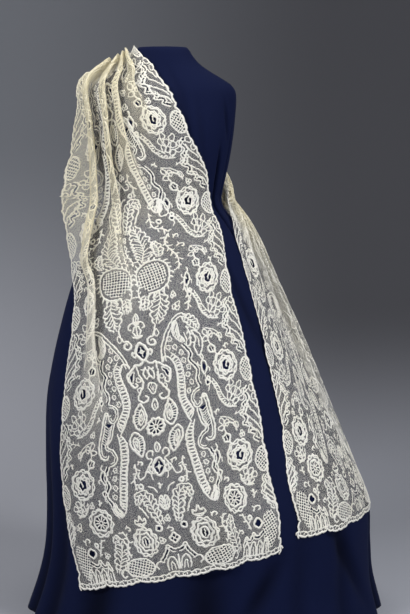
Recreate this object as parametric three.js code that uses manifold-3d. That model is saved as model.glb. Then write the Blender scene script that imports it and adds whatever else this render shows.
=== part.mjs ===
// Lace stole draped over a limbless dress form.
// Millimetres, +Z up. The origin is on the floor at the middle of the form's base.
// The wearer's front faces -Y. The stole hangs over the shoulder at -X, crosses the back
// and comes round the other side of the waist to hang over the skirt at +X.

import * as THREE from 'three';
import { mergeVertices } from 'three/addons/utils/BufferGeometryUtils.js';
import Module from 'manifold-3d';

const wasm = await Module();
wasm.setup();

// Driving dimensions
const STOLE_LENGTH = 2875;
const STOLE_WIDTH = 560;
const WALL = 1.2;
const REST_GAP = 1;
const SEAM_GAP = 0.3;
const FLAT_SEAM_GAP = 1.6;
const SHOULDER_CREST = 1369;
const WAIST_TURN = 1999;
const EDGE_REPEATS = 13;
const EDGE_REPEAT = STOLE_LENGTH / EDGE_REPEATS;
const TRELLIS_LOBE = 66;
const SHELL_LOBE = EDGE_REPEAT - TRELLIS_LOBE;
const FIRST_TRELLIS = 199;
const LOBE_DEPTH = 7;
const HEM_LOBES = 6;
const HEM_LOBE_DEPTH = 9;
const FORM_HEIGHT = 1432;
const FORM_WAIST = 1044;
const NECK_ROUNDING = 5;

// How the cloth lies
const FOLD_FLATNESS = 0.6;
const FOLD_LEAN = 1;
const LIFT_REACH = 0.35;

// Fineness of the meshes
const FORM_SIDES = 40;
const FORM_STEP = 45;
const SHELL_ROWS = 4;
const LEAST_ROW_STEP = 18;
const CREST_ROW_STEP = 15;
const CREST_REACH = 75;
const FLAT_COLUMN_STEP = 28;
const FOLD_COLUMNS = 6;
const SIDE_FOLD_COLUMNS = 4;
const PROFILE_STEP = 1;

// Sections of the dress form. spanned is how far cloth stands off a hollow that it bridges.
const formSections = [
  { height: 0, centreX: 0, halfWidth: 460, halfDepth: 375, spanned: 0 },
  { height: 95, centreX: 4, halfWidth: 432, halfDepth: 360, spanned: 0 },
  { height: 174, centreX: 9, halfWidth: 421, halfDepth: 353, spanned: 0 },
  { height: 279, centreX: 8, halfWidth: 415, halfDepth: 347, spanned: 0 },
  { height: 400, centreX: -19, halfWidth: 389, halfDepth: 326, spanned: 0 },
  { height: 545, centreX: -54, halfWidth: 350, halfDepth: 298, spanned: 0 },
  { height: 644, centreX: -70, halfWidth: 318, halfDepth: 272, spanned: 0 },
  { height: 746, centreX: -82, halfWidth: 282, halfDepth: 244, spanned: 0 },
  { height: 836, centreX: -90, halfWidth: 248, halfDepth: 215, spanned: 0 },
  { height: 948, centreX: -96, halfWidth: 201, halfDepth: 169, spanned: 4 },
  { height: 998, centreX: -101, halfWidth: 175, halfDepth: 140, spanned: 9 },
  { height: 1044, centreX: -106, halfWidth: 149, halfDepth: 110, spanned: 15 },
  { height: 1089, centreX: -106, halfWidth: 154, halfDepth: 109, spanned: 10 },
  { height: 1144, centreX: -106, halfWidth: 166, halfDepth: 114, spanned: 3 },
  { height: 1197, centreX: -106, halfWidth: 175, halfDepth: 119, spanned: 0 },
  { height: 1250, centreX: -106, halfWidth: 181, halfDepth: 116, spanned: 2 },
  { height: 1315, centreX: -106, halfWidth: 184, halfDepth: 100, spanned: 7 },
  { height: 1337, centreX: -106, halfWidth: 174, halfDepth: 91, spanned: 9 },
  { height: 1352, centreX: -106, halfWidth: 153, halfDepth: 84, spanned: 10 },
  { height: 1371, centreX: -106, halfWidth: 121, halfDepth: 76, spanned: 10 },
  { height: 1389, centreX: -106, halfWidth: 95, halfDepth: 69, spanned: 10 },
  { height: 1406, centreX: -106, halfWidth: 79, halfDepth: 63, spanned: 9 },
  { height: 1424, centreX: -106, halfWidth: 68, halfDepth: 57, spanned: 7 },
  { height: 1450, centreX: -106, halfWidth: 61, halfDepth: 51, spanned: 5 },
];

// Where the stole's two long edges lie, along its length from the front hem.
// Angles run round the form from its front, in degrees: -90 is the shoulder side, -180 the back.
const hangingRows = [
  { along: 0, outerAngle: -46, outerHeight: 111, outerLift: 0, innerAngle: 24, innerHeight: 224 },
  { along: 175, outerAngle: -57, outerHeight: 270, outerLift: 0, innerAngle: 27, innerHeight: 395 },
  { along: 323, outerAngle: -60, outerHeight: 414, outerLift: 0, innerAngle: 32, innerHeight: 536 },
  { along: 475, outerAngle: -58, outerHeight: 565, outerLift: 0, innerAngle: 36, innerHeight: 678 },
  { along: 636, outerAngle: -60, outerHeight: 723, outerLift: 0, innerAngle: 39, innerHeight: 829 },
  { along: 752, outerAngle: -68, outerHeight: 828, outerLift: 4, innerAngle: 43, innerHeight: 934 },
  { along: 848, outerAngle: -85, outerHeight: 880, outerLift: 16, innerAngle: 48, innerHeight: 1012 },
  { along: 957, outerAngle: -90, outerHeight: 980, outerLift: 72, innerAngle: 44, innerHeight: 1108 },
  { along: 1029, outerAngle: -90, outerHeight: 1046, outerLift: 98, innerAngle: 32, innerHeight: 1173 },
  { along: 1097, outerAngle: -90, outerHeight: 1112, outerLift: 86, innerAngle: 21, innerHeight: 1234 },
  { along: 1161, outerAngle: -90, outerHeight: 1175, outerLift: 64, innerAngle: 12, innerHeight: 1292 },
  { along: 1230, outerAngle: -90, outerHeight: 1242, outerLift: 42, innerAngle: 0, innerHeight: 1350 },
  { along: 1292, outerAngle: -90, outerHeight: 1294, outerLift: 26, innerAngle: -22, innerHeight: 1402 },
  { along: 1369, outerAngle: -91, outerHeight: 1345, outerLift: 30, innerAngle: -90, innerHeight: 1438 },
  { along: 1479, outerAngle: -104, outerHeight: 1240, outerLift: 10, innerAngle: -136, innerHeight: 1396 },
  { along: 1599, outerAngle: -140, outerHeight: 1168, outerLift: 4, innerAngle: -166, innerHeight: 1342 },
  { along: 1719, outerAngle: -178, outerHeight: 1105, outerLift: 0, innerAngle: -197, innerHeight: 1262 },
  { along: 1824, outerAngle: -212, outerHeight: 1050, outerLift: 0, innerAngle: -228, innerHeight: 1186 },
  { along: 1919, outerAngle: -236, outerHeight: 1004, outerLift: 0, innerAngle: -255, innerHeight: 1115 },
  { along: 1999, outerAngle: -247, outerHeight: 960, outerLift: 0, innerAngle: -276, innerHeight: 1052 },
  { along: 2104, outerAngle: -251, outerHeight: 893, outerLift: 0, innerAngle: -299, innerHeight: 973 },
  { along: 2185, outerAngle: -252, outerHeight: 830, outerLift: 0, innerAngle: -304, innerHeight: 900 },
  { along: 2332, outerAngle: -253, outerHeight: 708, outerLift: 0, innerAngle: -309, innerHeight: 765 },
  { along: 2442, outerAngle: -252, outerHeight: 615, outerLift: 0, innerAngle: -314, innerHeight: 664 },
  { along: 2563, outerAngle: -251, outerHeight: 515, outerLift: 0, innerAngle: -318, innerHeight: 552 },
  { along: 2710, outerAngle: -250, outerHeight: 395, outerLift: 0, innerAngle: -326, innerHeight: 414 },
  { along: 2875, outerAngle: -249, outerHeight: 285, outerLift: 0, innerAngle: -330, innerHeight: 252 },
];

// Pleats and soft folds. place is across the flat width from its middle, towards the inner edge.
// turn is how far the cloth turns in the fold, in radians: it grows from opens to full, stays
// and dies away from eases to gone.
const folds = [
  { name: 'outer pleat', place: -160, half: 65, turn: 1.9, opens: 330, full: 640, eases: 2150, gone: 2870 },
  { name: 'middle pleat', place: -15, half: 52, turn: 1.9, opens: 560, full: 1130, eases: 2150, gone: 2840 },
  { name: 'inner pleat', place: 92, half: 42, turn: 1.9, opens: 880, full: 1250, eases: 2000, gone: 2480 },
  { name: 'neck pleat', place: 182, half: 40, turn: 1.9, opens: 1060, full: 1330, eases: 1960, gone: 2330 },
  { name: 'front fold', place: 118, half: 70, turn: 0.5, opens: -200, full: 0, eases: 60, gone: 330 },
  { name: 'side fold', place: 150, half: 70, turn: 0.6, opens: 2480, full: 2800, eases: 3000, gone: 3100 },
];

// Open places in the lace, at one end of the stole: the other end mirrors them. across is from the
// middle of the pattern, and 2 sides mean one on the other side too. Repeats step along the length.
const ROSE_GAP = EDGE_REPEAT;
const PANEL_GAP = 748;
const openPlaces = [
  { name: 'rose heart', along: 258, across: 200, sides: 2, length: 15, width: 10, count: 6, step: ROSE_GAP },
  { name: 'corner square', along: 90, across: 215, sides: 2, length: 9, width: 9, count: 1, step: 0 },
  { name: 'wheel heart', along: 162, across: 167, sides: 2, length: 10, width: 10, count: 1, step: 0 },
  { name: 'hem flower', along: 102, across: 68, sides: 2, length: 15, width: 9, count: 1, step: 0 },
  { name: 'ring', along: 130, across: 30, sides: 2, length: 8, width: 8, count: 1, step: 0 },
  { name: 'quatrefoil', along: 102, across: 0, sides: 1, length: 11, width: 11, count: 1, step: 0 },
  { name: 'low lozenge', along: 276, across: 0, sides: 1, length: 14, width: 9, count: 2, step: PANEL_GAP },
  { name: 'mid lozenge', along: 468, across: 0, sides: 1, length: 11, width: 8, count: 2, step: PANEL_GAP },
  { name: 'top lozenge', along: 558, across: 0, sides: 1, length: 14, width: 9, count: 2, step: PANEL_GAP },
  { name: 'low pod', along: 330, across: 38, sides: 2, length: 24, width: 6, count: 2, step: PANEL_GAP },
  { name: 'top pod', along: 417, across: 36, sides: 2, length: 24, width: 6, count: 2, step: PANEL_GAP },
  { name: 'leaf slit', along: 492, across: 133, sides: 2, length: 18, width: 6, count: 2, step: PANEL_GAP },
];
const OPEN_SIDES = 6;
const CENTRE_DRIFT = 14;
const MOST_TURN_AT_OPENING = 0.7;
const OPENING_SEAM_CLEARANCE = 30;
const CUTTER_REACH = 1.8;

const clothMaterial = new THREE.MeshStandardMaterial({ color: 0xe9e3d2, roughness: 0.85, metalness: 0 });
const formMaterial = new THREE.MeshStandardMaterial({ color: 0x14193f, roughness: 0.75, metalness: 0 });

// Smooth curve through one column of a table
function columnAt(table, key, column, x) {
  const last = table.length - 1;
  let i = 0;
  while (i < last - 1 && x > table[i + 1][key]) {
    i += 1;
  }
  const slopeAt = (k) => {
    const before = table[Math.max(k - 1, 0)];
    const after = table[Math.min(k + 1, last)];
    return (after[column] - before[column]) / (after[key] - before[key]);
  };
  const width = table[i + 1][key] - table[i][key];
  const t = (x - table[i][key]) / width;
  const start = table[i][column];
  const rise = table[i + 1][column] - start;
  const leave = slopeAt(i) * width;
  const arrive = slopeAt(i + 1) * width;
  return start + t * leave + t * t * (3 * rise - 2 * leave - arrive)
    + t * t * t * (leave + arrive - 2 * rise);
}

function formPoint(angle, height, spannedShare = 0) {
  const section = (column) => columnAt(formSections, 'height', column, height);
  const off = spannedShare * section('spanned');
  return new THREE.Vector3(
    section('centreX') + (section('halfWidth') + off) * Math.sin(angle),
    -(section('halfDepth') + off) * Math.cos(angle),
    height,
  );
}

function formNormal(angle, height) {
  const turn = 0.004;
  const rise = 0.5;
  const round = formPoint(angle + turn, height, 1).sub(formPoint(angle - turn, height, 1));
  const up = formPoint(angle, height + rise, 1).sub(formPoint(angle, height - rise, 1));
  return round.cross(up).normalize();
}

function foldTurn(fold, along) {
  const opened = THREE.MathUtils.smoothstep(along, fold.opens, fold.full);
  const eased = THREE.MathUtils.smoothstep(along, fold.eases, fold.gone);
  return fold.turn * opened * (1 - eased);
}

// How steeply the cloth stands at a place across its width, from the folds' turns there
function slopeAt(turns, flat) {
  return folds.reduce((slope, fold, k) => {
    const place = (flat - fold.place) / fold.half;
    return Math.abs(place) < 1 ? slope - turns[k] * Math.sin(Math.PI * place) : slope;
  }, 0);
}

function turnsAt(along) {
  return folds.map((fold) => foldTurn(fold, along));
}

// The stole's cross profile at one place along it: how far across and how high each point
// of the flat width comes to lie once the folds have turned.
const profiles = new Map();
const PROFILE_HALF = STOLE_WIDTH / 2 + 4;

function profileAt(along) {
  if (profiles.has(along)) {
    return profiles.get(along);
  }
  const across = [0];
  const raised = [0];
  const turns = turnsAt(along);
  for (let flat = -PROFILE_HALF; flat < PROFILE_HALF; flat += PROFILE_STEP) {
    const slope = slopeAt(turns, flat + PROFILE_STEP / 2);
    across.push(across[across.length - 1] + PROFILE_STEP * Math.cos(slope));
    raised.push(raised[raised.length - 1] + PROFILE_STEP * Math.sin(slope));
  }
  const profile = { across, raised };
  profiles.set(along, profile);
  return profile;
}

function profilePoint(along, flat) {
  const { across, raised } = profileAt(along);
  const last = across.length - 1;
  const place = THREE.MathUtils.clamp((flat + PROFILE_HALF) / PROFILE_STEP, 0, last - 1e-6);
  const i = Math.floor(place);
  const part = place - i;
  const x = across[i] + part * (across[i + 1] - across[i]);
  const lift = FOLD_FLATNESS * (raised[i] + part * (raised[i + 1] - raised[i]));
  return { share: (x + FOLD_LEAN * lift) / across[last], lift };
}

// The middle of the cloth at a place of the flat stole
function drapePoint(along, flat) {
  const row = (column) => columnAt(hangingRows, 'along', column, along);
  const { share, lift } = profilePoint(along, flat);
  const angle = THREE.MathUtils.degToRad(
    THREE.MathUtils.lerp(row('outerAngle'), row('innerAngle'), share));
  const height = THREE.MathUtils.lerp(row('outerHeight'), row('innerHeight'), share);
  const free = Math.max(0, 1 - share / LIFT_REACH);
  const off = REST_GAP + WALL / 2 + row('outerLift') * free * free + lift;
  return formPoint(angle, height, 1).addScaledVector(formNormal(angle, height), off);
}

function drapeNormal(along, flat) {
  const reach = 1.5;
  const across = drapePoint(along, flat + reach).sub(drapePoint(along, flat - reach));
  const down = drapePoint(along - reach, flat).sub(drapePoint(along + reach, flat));
  return down.cross(across).normalize();
}

function drapeLayer(along, flat, off) {
  return drapePoint(along, flat).addScaledVector(drapeNormal(along, flat), off);
}

// Scalloped outline of the flat stole
function lobeNotch(place, pitch, depth) {
  const swing = Math.abs(Math.sin(Math.PI * place / pitch));
  return depth * (1 - Math.sqrt(swing));
}

// Both long edges have a short trellised lobe and a long shell lobe by turns, from either end
function halfWidthAt(along) {
  const fromEnd = Math.min(along, STOLE_LENGTH - along);
  const place = THREE.MathUtils.euclideanModulo(fromEnd - FIRST_TRELLIS, EDGE_REPEAT);
  const notch = place < TRELLIS_LOBE
    ? lobeNotch(place, TRELLIS_LOBE, LOBE_DEPTH)
    : lobeNotch(place - TRELLIS_LOBE, SHELL_LOBE, LOBE_DEPTH);
  return STOLE_WIDTH / 2 - notch;
}

function hemNotchAt(flat) {
  const pitch = STOLE_WIDTH / HEM_LOBES;
  return lobeNotch(flat + STOLE_WIDTH / 2, pitch, HEM_LOBE_DEPTH);
}

// Closed solid from layers of points, triangles given by index
function solidGeometry(points, triangles) {
  const geometry = new THREE.BufferGeometry();
  const flat = points.flatMap((point) => [point.x, point.y, point.z]);
  geometry.setAttribute('position', new THREE.Float32BufferAttribute(flat, 3));
  geometry.setIndex(triangles);
  return geometry;
}

function manifoldOf(geometry) {
  const merged = mergeVertices(geometry, 1e-4);
  const vertProperties = new Float32Array(merged.attributes.position.array);
  const triVerts = new Uint32Array(merged.index.array);
  return new wasm.Manifold(new wasm.Mesh({ numProp: 3, vertProperties, triVerts }));
}

function geometryOf(manifold) {
  const mesh = manifold.getMesh();
  const geometry = new THREE.BufferGeometry();
  geometry.setAttribute('position', new THREE.BufferAttribute(new Float32Array(mesh.vertProperties), 3));
  geometry.setIndex(new THREE.BufferAttribute(new Uint32Array(mesh.triVerts), 1));
  geometry.computeVertexNormals();
  return geometry;
}

// Wall between two layers over a grid of rows and columns
function wallGeometry(rows, columns, layerPoint) {
  const points = [];
  [WALL / 2, -WALL / 2].forEach((off) => {
    rows.forEach((row, i) => {
      columns.forEach((column, j) => points.push(layerPoint(i, j, off)));
    });
  });
  const inside = rows.length * columns.length;
  const at = (i, j) => i * columns.length + j;
  const triangles = [];
  const quad = (a, b, c, d) => triangles.push(a, b, c, a, c, d);
  for (let i = 0; i < rows.length - 1; i += 1) {
    for (let j = 0; j < columns.length - 1; j += 1) {
      const [a, b, c, d] = [at(i, j), at(i, j + 1), at(i + 1, j + 1), at(i + 1, j)];
      quad(a, b, c, d);
      quad(inside + a, inside + d, inside + c, inside + b);
    }
  }
  const rim = [];
  columns.forEach((column, j) => rim.push(at(0, j)));
  rows.slice(1).forEach((row, i) => rim.push(at(i + 1, columns.length - 1)));
  columns.slice(1).forEach((column, j) => rim.push(at(rows.length - 1, columns.length - 2 - j)));
  rows.slice(1, -1).forEach((row, i) => rim.push(at(rows.length - 2 - i, 0)));
  rim.forEach((vertex, k) => {
    const next = rim[(k + 1) % rim.length];
    quad(next, vertex, inside + vertex, inside + next);
  });
  return solidGeometry(points, triangles);
}

// Places of the grid's columns, as shares of the half width, closer together in the folds
function columnShares(foldColumns) {
  const half = STOLE_WIDTH / 2;
  const pleats = folds.filter((fold) => fold.turn > 1);
  const places = [-half, half];
  pleats.forEach((fold) => {
    for (let k = 0; k <= foldColumns; k += 1) {
      places.push(fold.place - fold.half + 2 * fold.half * k / foldColumns);
    }
  });
  places.sort((a, b) => a - b);
  const filled = [];
  places.forEach((place, k) => {
    const before = k === 0 ? place : places[k - 1];
    const parts = Math.max(1, Math.round((place - before) / FLAT_COLUMN_STEP));
    for (let part = 1; part <= parts; part += 1) {
      filled.push(before + (place - before) * part / parts);
    }
  });
  return filled.map((place) => place / half);
}

// Rows at the edge's notches and along its lobes, from either end to the middle
function edgeRows() {
  const rows = [];
  for (let lobe = FIRST_TRELLIS - EDGE_REPEAT; lobe < STOLE_LENGTH / 2; lobe += EDGE_REPEAT) {
    rows.push(lobe, lobe + TRELLIS_LOBE / 2);
    for (let k = 0; k < SHELL_ROWS; k += 1) {
      rows.push(lobe + TRELLIS_LOBE + SHELL_LOBE * k / SHELL_ROWS);
    }
  }
  const half = rows.filter((row) => row < STOLE_LENGTH / 2);
  return [...half, ...half.map((row) => STOLE_LENGTH - row).reverse()];
}

// Places of the grid's rows, closer together where the cloth turns over the shoulder
function rowPlaces(from, to) {
  const rows = [from];
  const between = edgeRows().filter((row) => row > from + LEAST_ROW_STEP && row < to - LEAST_ROW_STEP);
  [...between, to].forEach((row) => {
    const before = rows[rows.length - 1];
    const nearCrest = Math.abs((before + row) / 2 - SHOULDER_CREST) < CREST_REACH;
    const parts = nearCrest ? Math.ceil((row - before) / CREST_ROW_STEP) : 1;
    for (let part = 1; part <= parts; part += 1) {
      rows.push(before + (row - before) * part / parts);
    }
  });
  return rows;
}

// One stretch of the stole. A hem end follows the hem's own scallops.
function stretchGeometry({ from, to, foldColumns }) {
  const rows = rowPlaces(from, to);
  const columns = columnShares(foldColumns);
  return wallGeometry(rows, columns, (i, j, off) => {
    const flat = columns[j] * halfWidthAt(rows[i]);
    let along = rows[i];
    if (along === 0) {
      along += hemNotchAt(flat);
    }
    if (along === STOLE_LENGTH) {
      along -= hemNotchAt(flat);
    }
    return drapeLayer(along, flat, off);
  });
}

// Every open place of the lace, both ends and both sides
function allOpenings() {
  const found = [];
  openPlaces.forEach((open) => {
    for (let k = 0; k < open.count; k += 1) {
      const along = open.along + k * open.step;
      const sides = [open.across, -open.across].slice(0, open.sides);
      sides.forEach((across) => {
        const drift = CENTRE_DRIFT * (1 - (2 * across / STOLE_WIDTH) ** 2);
        const flat = across + drift;
        found.push({ along, flat, length: open.length, width: open.width });
        found.push({ along: STOLE_LENGTH - along, flat, length: open.length, width: open.width });
      });
    }
  });
  return found;
}

// Prism through the wall at an open place, made from the cloth's own points moved out and in
function cutterGeometry({ along, flat, length, width }) {
  const points = [];
  [-CUTTER_REACH, CUTTER_REACH].forEach((off) => {
    for (let k = 0; k < OPEN_SIDES; k += 1) {
      const round = 2 * Math.PI * k / OPEN_SIDES;
      const reachAlong = length / 2 * Math.cos(round);
      const reachAcross = width / 2 * Math.sin(round);
      points.push(drapeLayer(along + reachAlong, flat + reachAcross, off));
    }
  });
  const triangles = [];
  for (let k = 0; k < OPEN_SIDES; k += 1) {
    const next = (k + 1) % OPEN_SIDES;
    triangles.push(k, OPEN_SIDES + k, OPEN_SIDES + next, k, OPEN_SIDES + next, next);
  }
  for (let k = 1; k < OPEN_SIDES - 1; k += 1) {
    triangles.push(0, k, k + 1);
    triangles.push(OPEN_SIDES, OPEN_SIDES + k + 1, OPEN_SIDES + k);
  }
  return solidGeometry(points, triangles);
}

// A stretch with its open places cut through, but for those that lie in a steep pleat
function laceGeometry(stretch) {
  const cut = allOpenings().filter(({ along, flat }) => {
    const inside = along > stretch.from + OPENING_SEAM_CLEARANCE
      && along < stretch.to - OPENING_SEAM_CLEARANCE;
    return inside && Math.abs(slopeAt(turnsAt(along), flat)) < MOST_TURN_AT_OPENING;
  });
  const wall = cut.reduce(
    (solid, open) => solid.subtract(manifoldOf(cutterGeometry(open))),
    manifoldOf(stretchGeometry(stretch)));
  return geometryOf(wall);
}

// Smooth solid from level rings, with a flat cap at each end
function formSolid(rings) {
  const points = [];
  const triangles = [];
  rings.forEach(({ height, inset }) => {
    for (let k = 0; k < FORM_SIDES; k += 1) {
      const angle = 2 * Math.PI * k / FORM_SIDES;
      const point = formPoint(angle, height);
      const inward = new THREE.Vector3(-Math.sin(angle), Math.cos(angle), 0);
      points.push(point.addScaledVector(inward, inset));
    }
  });
  const at = (ring, k) => ring * FORM_SIDES + (k % FORM_SIDES);
  for (let ring = 0; ring < rings.length - 1; ring += 1) {
    for (let k = 0; k < FORM_SIDES; k += 1) {
      const [a, b, c, d] = [at(ring, k), at(ring, k + 1), at(ring + 1, k + 1), at(ring + 1, k)];
      triangles.push(a, b, c, a, c, d);
    }
  }
  const top = rings.length - 1;
  for (let k = 1; k < FORM_SIDES - 1; k += 1) {
    triangles.push(at(0, 0), at(0, k + 1), at(0, k));
    triangles.push(at(top, 0), at(top, k), at(top, k + 1));
  }
  return solidGeometry(points, triangles);
}

function levelRings(from, to) {
  const inner = formSections.map((section) => section.height)
    .filter((height) => height > from + 1 && height < to - 1);
  const heights = [from, ...inner, to];
  const rings = [];
  heights.forEach((height, k) => {
    const before = k === 0 ? height : heights[k - 1];
    const parts = Math.max(1, Math.round((height - before) / FORM_STEP));
    for (let part = 1; part <= parts; part += 1) {
      rings.push({ height: before + (height - before) * part / parts, inset: 0 });
    }
  });
  return rings;
}

function bustRings() {
  const rings = levelRings(FORM_WAIST + SEAM_GAP / 2, FORM_HEIGHT - NECK_ROUNDING);
  [30, 60, 90].forEach((degrees) => {
    const round = THREE.MathUtils.degToRad(degrees);
    rings.push({
      height: FORM_HEIGHT - NECK_ROUNDING * (1 - Math.sin(round)),
      inset: NECK_ROUNDING * (1 - Math.cos(round)),
    });
  });
  return rings;
}

function namedMesh(name, geometry, material) {
  const mesh = new THREE.Mesh(geometry, material);
  mesh.name = name;
  return mesh;
}

// The gathers draw the flat seam gap in, to about the gap between other pieces
const NEAR_SEAM = FLAT_SEAM_GAP / 2;
const stretches = [
  { name: 'shawl_front', from: 0, to: SHOULDER_CREST - NEAR_SEAM, foldColumns: FOLD_COLUMNS },
  {
    name: 'shawl_back',
    from: SHOULDER_CREST + NEAR_SEAM,
    to: WAIST_TURN - NEAR_SEAM,
    foldColumns: FOLD_COLUMNS,
  },
  { name: 'shawl_side', from: WAIST_TURN + NEAR_SEAM, to: STOLE_LENGTH, foldColumns: SIDE_FOLD_COLUMNS },
];

const part = new THREE.Group();
part.add(namedMesh('form_bust', formSolid(bustRings()), formMaterial));
part.add(namedMesh('form_skirt', formSolid(levelRings(0, FORM_WAIST - SEAM_GAP / 2)), formMaterial));
stretches.forEach((stretch) => {
  part.add(namedMesh(stretch.name, laceGeometry(stretch), clothMaterial));
});

export default part;
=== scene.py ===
"""Lace stole draped over a covered dress form: the looks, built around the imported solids."""

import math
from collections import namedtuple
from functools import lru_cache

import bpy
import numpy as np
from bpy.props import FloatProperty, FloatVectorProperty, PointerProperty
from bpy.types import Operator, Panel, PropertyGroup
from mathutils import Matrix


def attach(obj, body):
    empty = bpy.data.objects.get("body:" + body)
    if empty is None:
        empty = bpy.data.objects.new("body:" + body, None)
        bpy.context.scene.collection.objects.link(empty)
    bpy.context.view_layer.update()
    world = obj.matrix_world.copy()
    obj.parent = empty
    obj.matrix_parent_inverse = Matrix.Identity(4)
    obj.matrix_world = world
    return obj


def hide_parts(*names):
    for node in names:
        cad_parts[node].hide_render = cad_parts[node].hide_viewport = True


bl_info = {
    "name": "Lace Stole on a Dress Form",
    "version": (1, 0, 0),
    "blender": (4, 5, 0),
    "location": "View3D > Sidebar > Lace Stole",
    "description": "Builds a draped lace stole, its covered dress form and a plain studio stage",
    "category": "Object",
}

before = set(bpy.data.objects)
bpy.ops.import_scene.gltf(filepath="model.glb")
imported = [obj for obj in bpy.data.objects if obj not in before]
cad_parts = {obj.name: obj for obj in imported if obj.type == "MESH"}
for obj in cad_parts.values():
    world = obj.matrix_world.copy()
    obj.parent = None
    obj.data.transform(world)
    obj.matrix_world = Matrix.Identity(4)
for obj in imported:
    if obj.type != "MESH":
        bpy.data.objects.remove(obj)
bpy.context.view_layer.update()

# The flat lace is drawn in millimetres, and meshes are in metres
MM = 0.001

# Sizes of the flat stole, and how far along it the shoulder's crest and the waist lie
STOLE_LENGTH = 2875.0
STOLE_WIDTH = 560.0
HALF_WIDTH = STOLE_WIDTH / 2
SHOULDER_CREST = 1369.0
WAIST_TURN = 1999.0

# Lobes of the long edges and the hems, and the small scallops and the cord on them
EDGE_REPEATS = 13
EDGE_REPEAT = STOLE_LENGTH / EDGE_REPEATS
TRELLIS_LOBE = 66.0
SHELL_LOBE = EDGE_REPEAT - TRELLIS_LOBE
FIRST_TRELLIS = 199.0
LOBE_DEPTH = 7.0
FINE_SCALLOP = 21.0
FINE_DEPTH = 4.0
HEM_LOBES = 6
HEM_LOBE_DEPTH = 9.0
HEM_EASE = 30.0
HEM_LINE = 15.0
EDGE_CORD = 5.2
CORD_INSET = 2.4
CORD_STEP = 2.5
CORNER_SHELL = 0.6
CORNER_SHELL_ALONG = 152.0

# How the cloth lies: its gap to the form, how its pleats flatten and lean, how far in it hangs free
REST_OFF = 1.6
FOLD_FLATNESS = 0.6
FOLD_LEAN = 1.0
LIFT_REACH = 0.35

# How closely pleats gather the net, and where the side stretch and the wing begin and end
DEEP_TURN = 1.0
GATHER_QUICKNESS = 0.6
GATHER_TOP = 1.15
GATHER_FALL = 1.35
SIDE_OPENS = (2000, 2250)
SIDE_GATHER_LOSS = 0.7
WING_GATHER = 0.35
WING_STARTS = (860, 1000)
WING_EDGE = (190, 240)
WING_ENDS = (1500, 1700)

# How warm the cotton's colour is, partly from ageing and partly as painted warm light, and where that
# begins and ends
WARMTH_GROWS = (450, 1200)
WARMTH_FADES = (1900, 2200)
WARM_WING_STARTS = (700, 950)
WARM_WING_EDGE = (60, 200)
HIGH_WARMTH = 0.1
WING_WARMTH = 0.3
GATHER_WARMTH = 0.15
HIGH_GATHER_WARMTH = 0.75
BACK_WARMTH_LOSS = 0.8
TAPE_WARMTH = 0.8

# Widths of the worked tapes
BOLD = 5.3
TAPE = 4.1
LIGHT = 3.1
THREAD = 2.3
PETAL = 4.4
INNER_PETAL = 4.0
SLIT_MARGIN = 3.6

# Steps at which lines are drawn, and how loops and stubs differ by turns
DRAWING_STEP = 1.5
DOUBLED_STEP = 2.5
EDGE_STEP = 3.0
LOOP_HEIGHTS = (1.0, 1.15, 0.9)
STUB_LENGTHS = (0.75, 1.25, 1.0)
STUB_TURN = 58

# Unevenness of hand work, the lengths of a tape's segments and the drift of the pattern's middle
TAPE_SEED = 11
TAPE_WOBBLE = 0.6
WOBBLE_LIMIT = 1.4
TAPE_SWELL = (0.72, 1.32)
TAPE_END = 0.6
TAPE_RISE = (0.85, 1.15)
FULL_RISE_WIDTH = 3.4
FINEST_STEP = 2.5
STEP_FOR_WIDTH = 0.75
LONG_CORD = 400.0
CENTRE_DRIFT = 14.0

# Sprigs in bare places. A pass has how many grains are clear round a sprig, and the sprig's size.
SPRIG_SEED = 5
SPRIG_GRAIN = 5.0
SPRIG_STEP = 4.0
SPRIG_MARGIN = 8
SPRIG_TURN = 40
SPRIG_PASSES = ((3, 1.0), (2, 0.72))

# The net: its slits, its flat coordinates and how much wider its threads are where gathered
SLIT_REACH = 6.0
SLIT_EDGE = 0.5
SLIT_FACES = -0.5
FLAT_UV_SPAN = 3000.0
FLAT_UV_START = (0.02, 0.5)
GATHERED_THREAD = 1.7

# The net's three sets of threads, by the direction across each set, in degrees
NET_TURNS = (30, 90, 150)

# Scales of the materials' noise, in waves to the metre, and their fixed shades
COTTON_PATCHES = 14.0
COTTON_AGEING = (0.5, -0.2)
COTTON_FIBRES = 900.0
FIBRE_SHARE = 0.16
FIBRE_SHADE = (0.5, 0.46, 0.36, 1)
COVER_WEAVE = 700.0
WEAVE_SHARE = 0.5
COVER_CLOUDS = 5.0
COVER_SHEEN = (0.4, 0.46, 0.75, 1)

# The form and its cover
FORM_HEIGHT = 1432.0
NECK_ROUNDING = 5.0
COVER_AROUND = 400
COVER_UPWARD = 160
MERGE_GAP = 1e-6
# Depth of a trough at which the cover's painted shade is full, and how dark that painted shade makes the
# navy
TROUGH_DEPTH_FOR_FULL_SHADE = 18.0
PAINTED_TROUGH_SHADE = 0.3
WEAVE_SHADE = 0.55

# The stage, in metres: floor and backdrop, their paper, the air and the camera
SWEEP_WIDTH = 14.0
SWEEP_RUN = 12.0
SWEEP_ROWS = 60
SWEEP_START = 5.0
SWEEP_FLAT = 6.2
SWEEP_RADIUS = 1.6
# Painted light falloff over the paper: lighter towards the camera, and turning from the left side's shading
# to the right side's between two places across
PAPER_FALLOFF_SLOPE = 0.12
PAPER_FALLOFF_TURNS = (-1.1, 0.6)
AIR_GREY = (0.12, 0.12, 0.135, 1)
CAMERA_PLACE = (0, -4.0, 1.2)
CAMERA_TILT = 84
CAMERA_LENS = 92.7
CAMERA_SENSOR = 36
CLEAR_LAYERS = 32

# The paper goes from its foot's colour to its head's between two heights, as painted light falloff that
# darkens it as it rises
Paper = namedtuple("Paper", "low high foot head")
LEFT_PAPER_FALLOFF = Paper(0.3, 1.6, (0.40, 0.41, 0.45, 1), (0.19, 0.20, 0.22, 1))
RIGHT_PAPER_FALLOFF = Paper(-0.42, 0.84, (0.50, 0.52, 0.58, 1), (0.075, 0.076, 0.085, 1))

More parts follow.
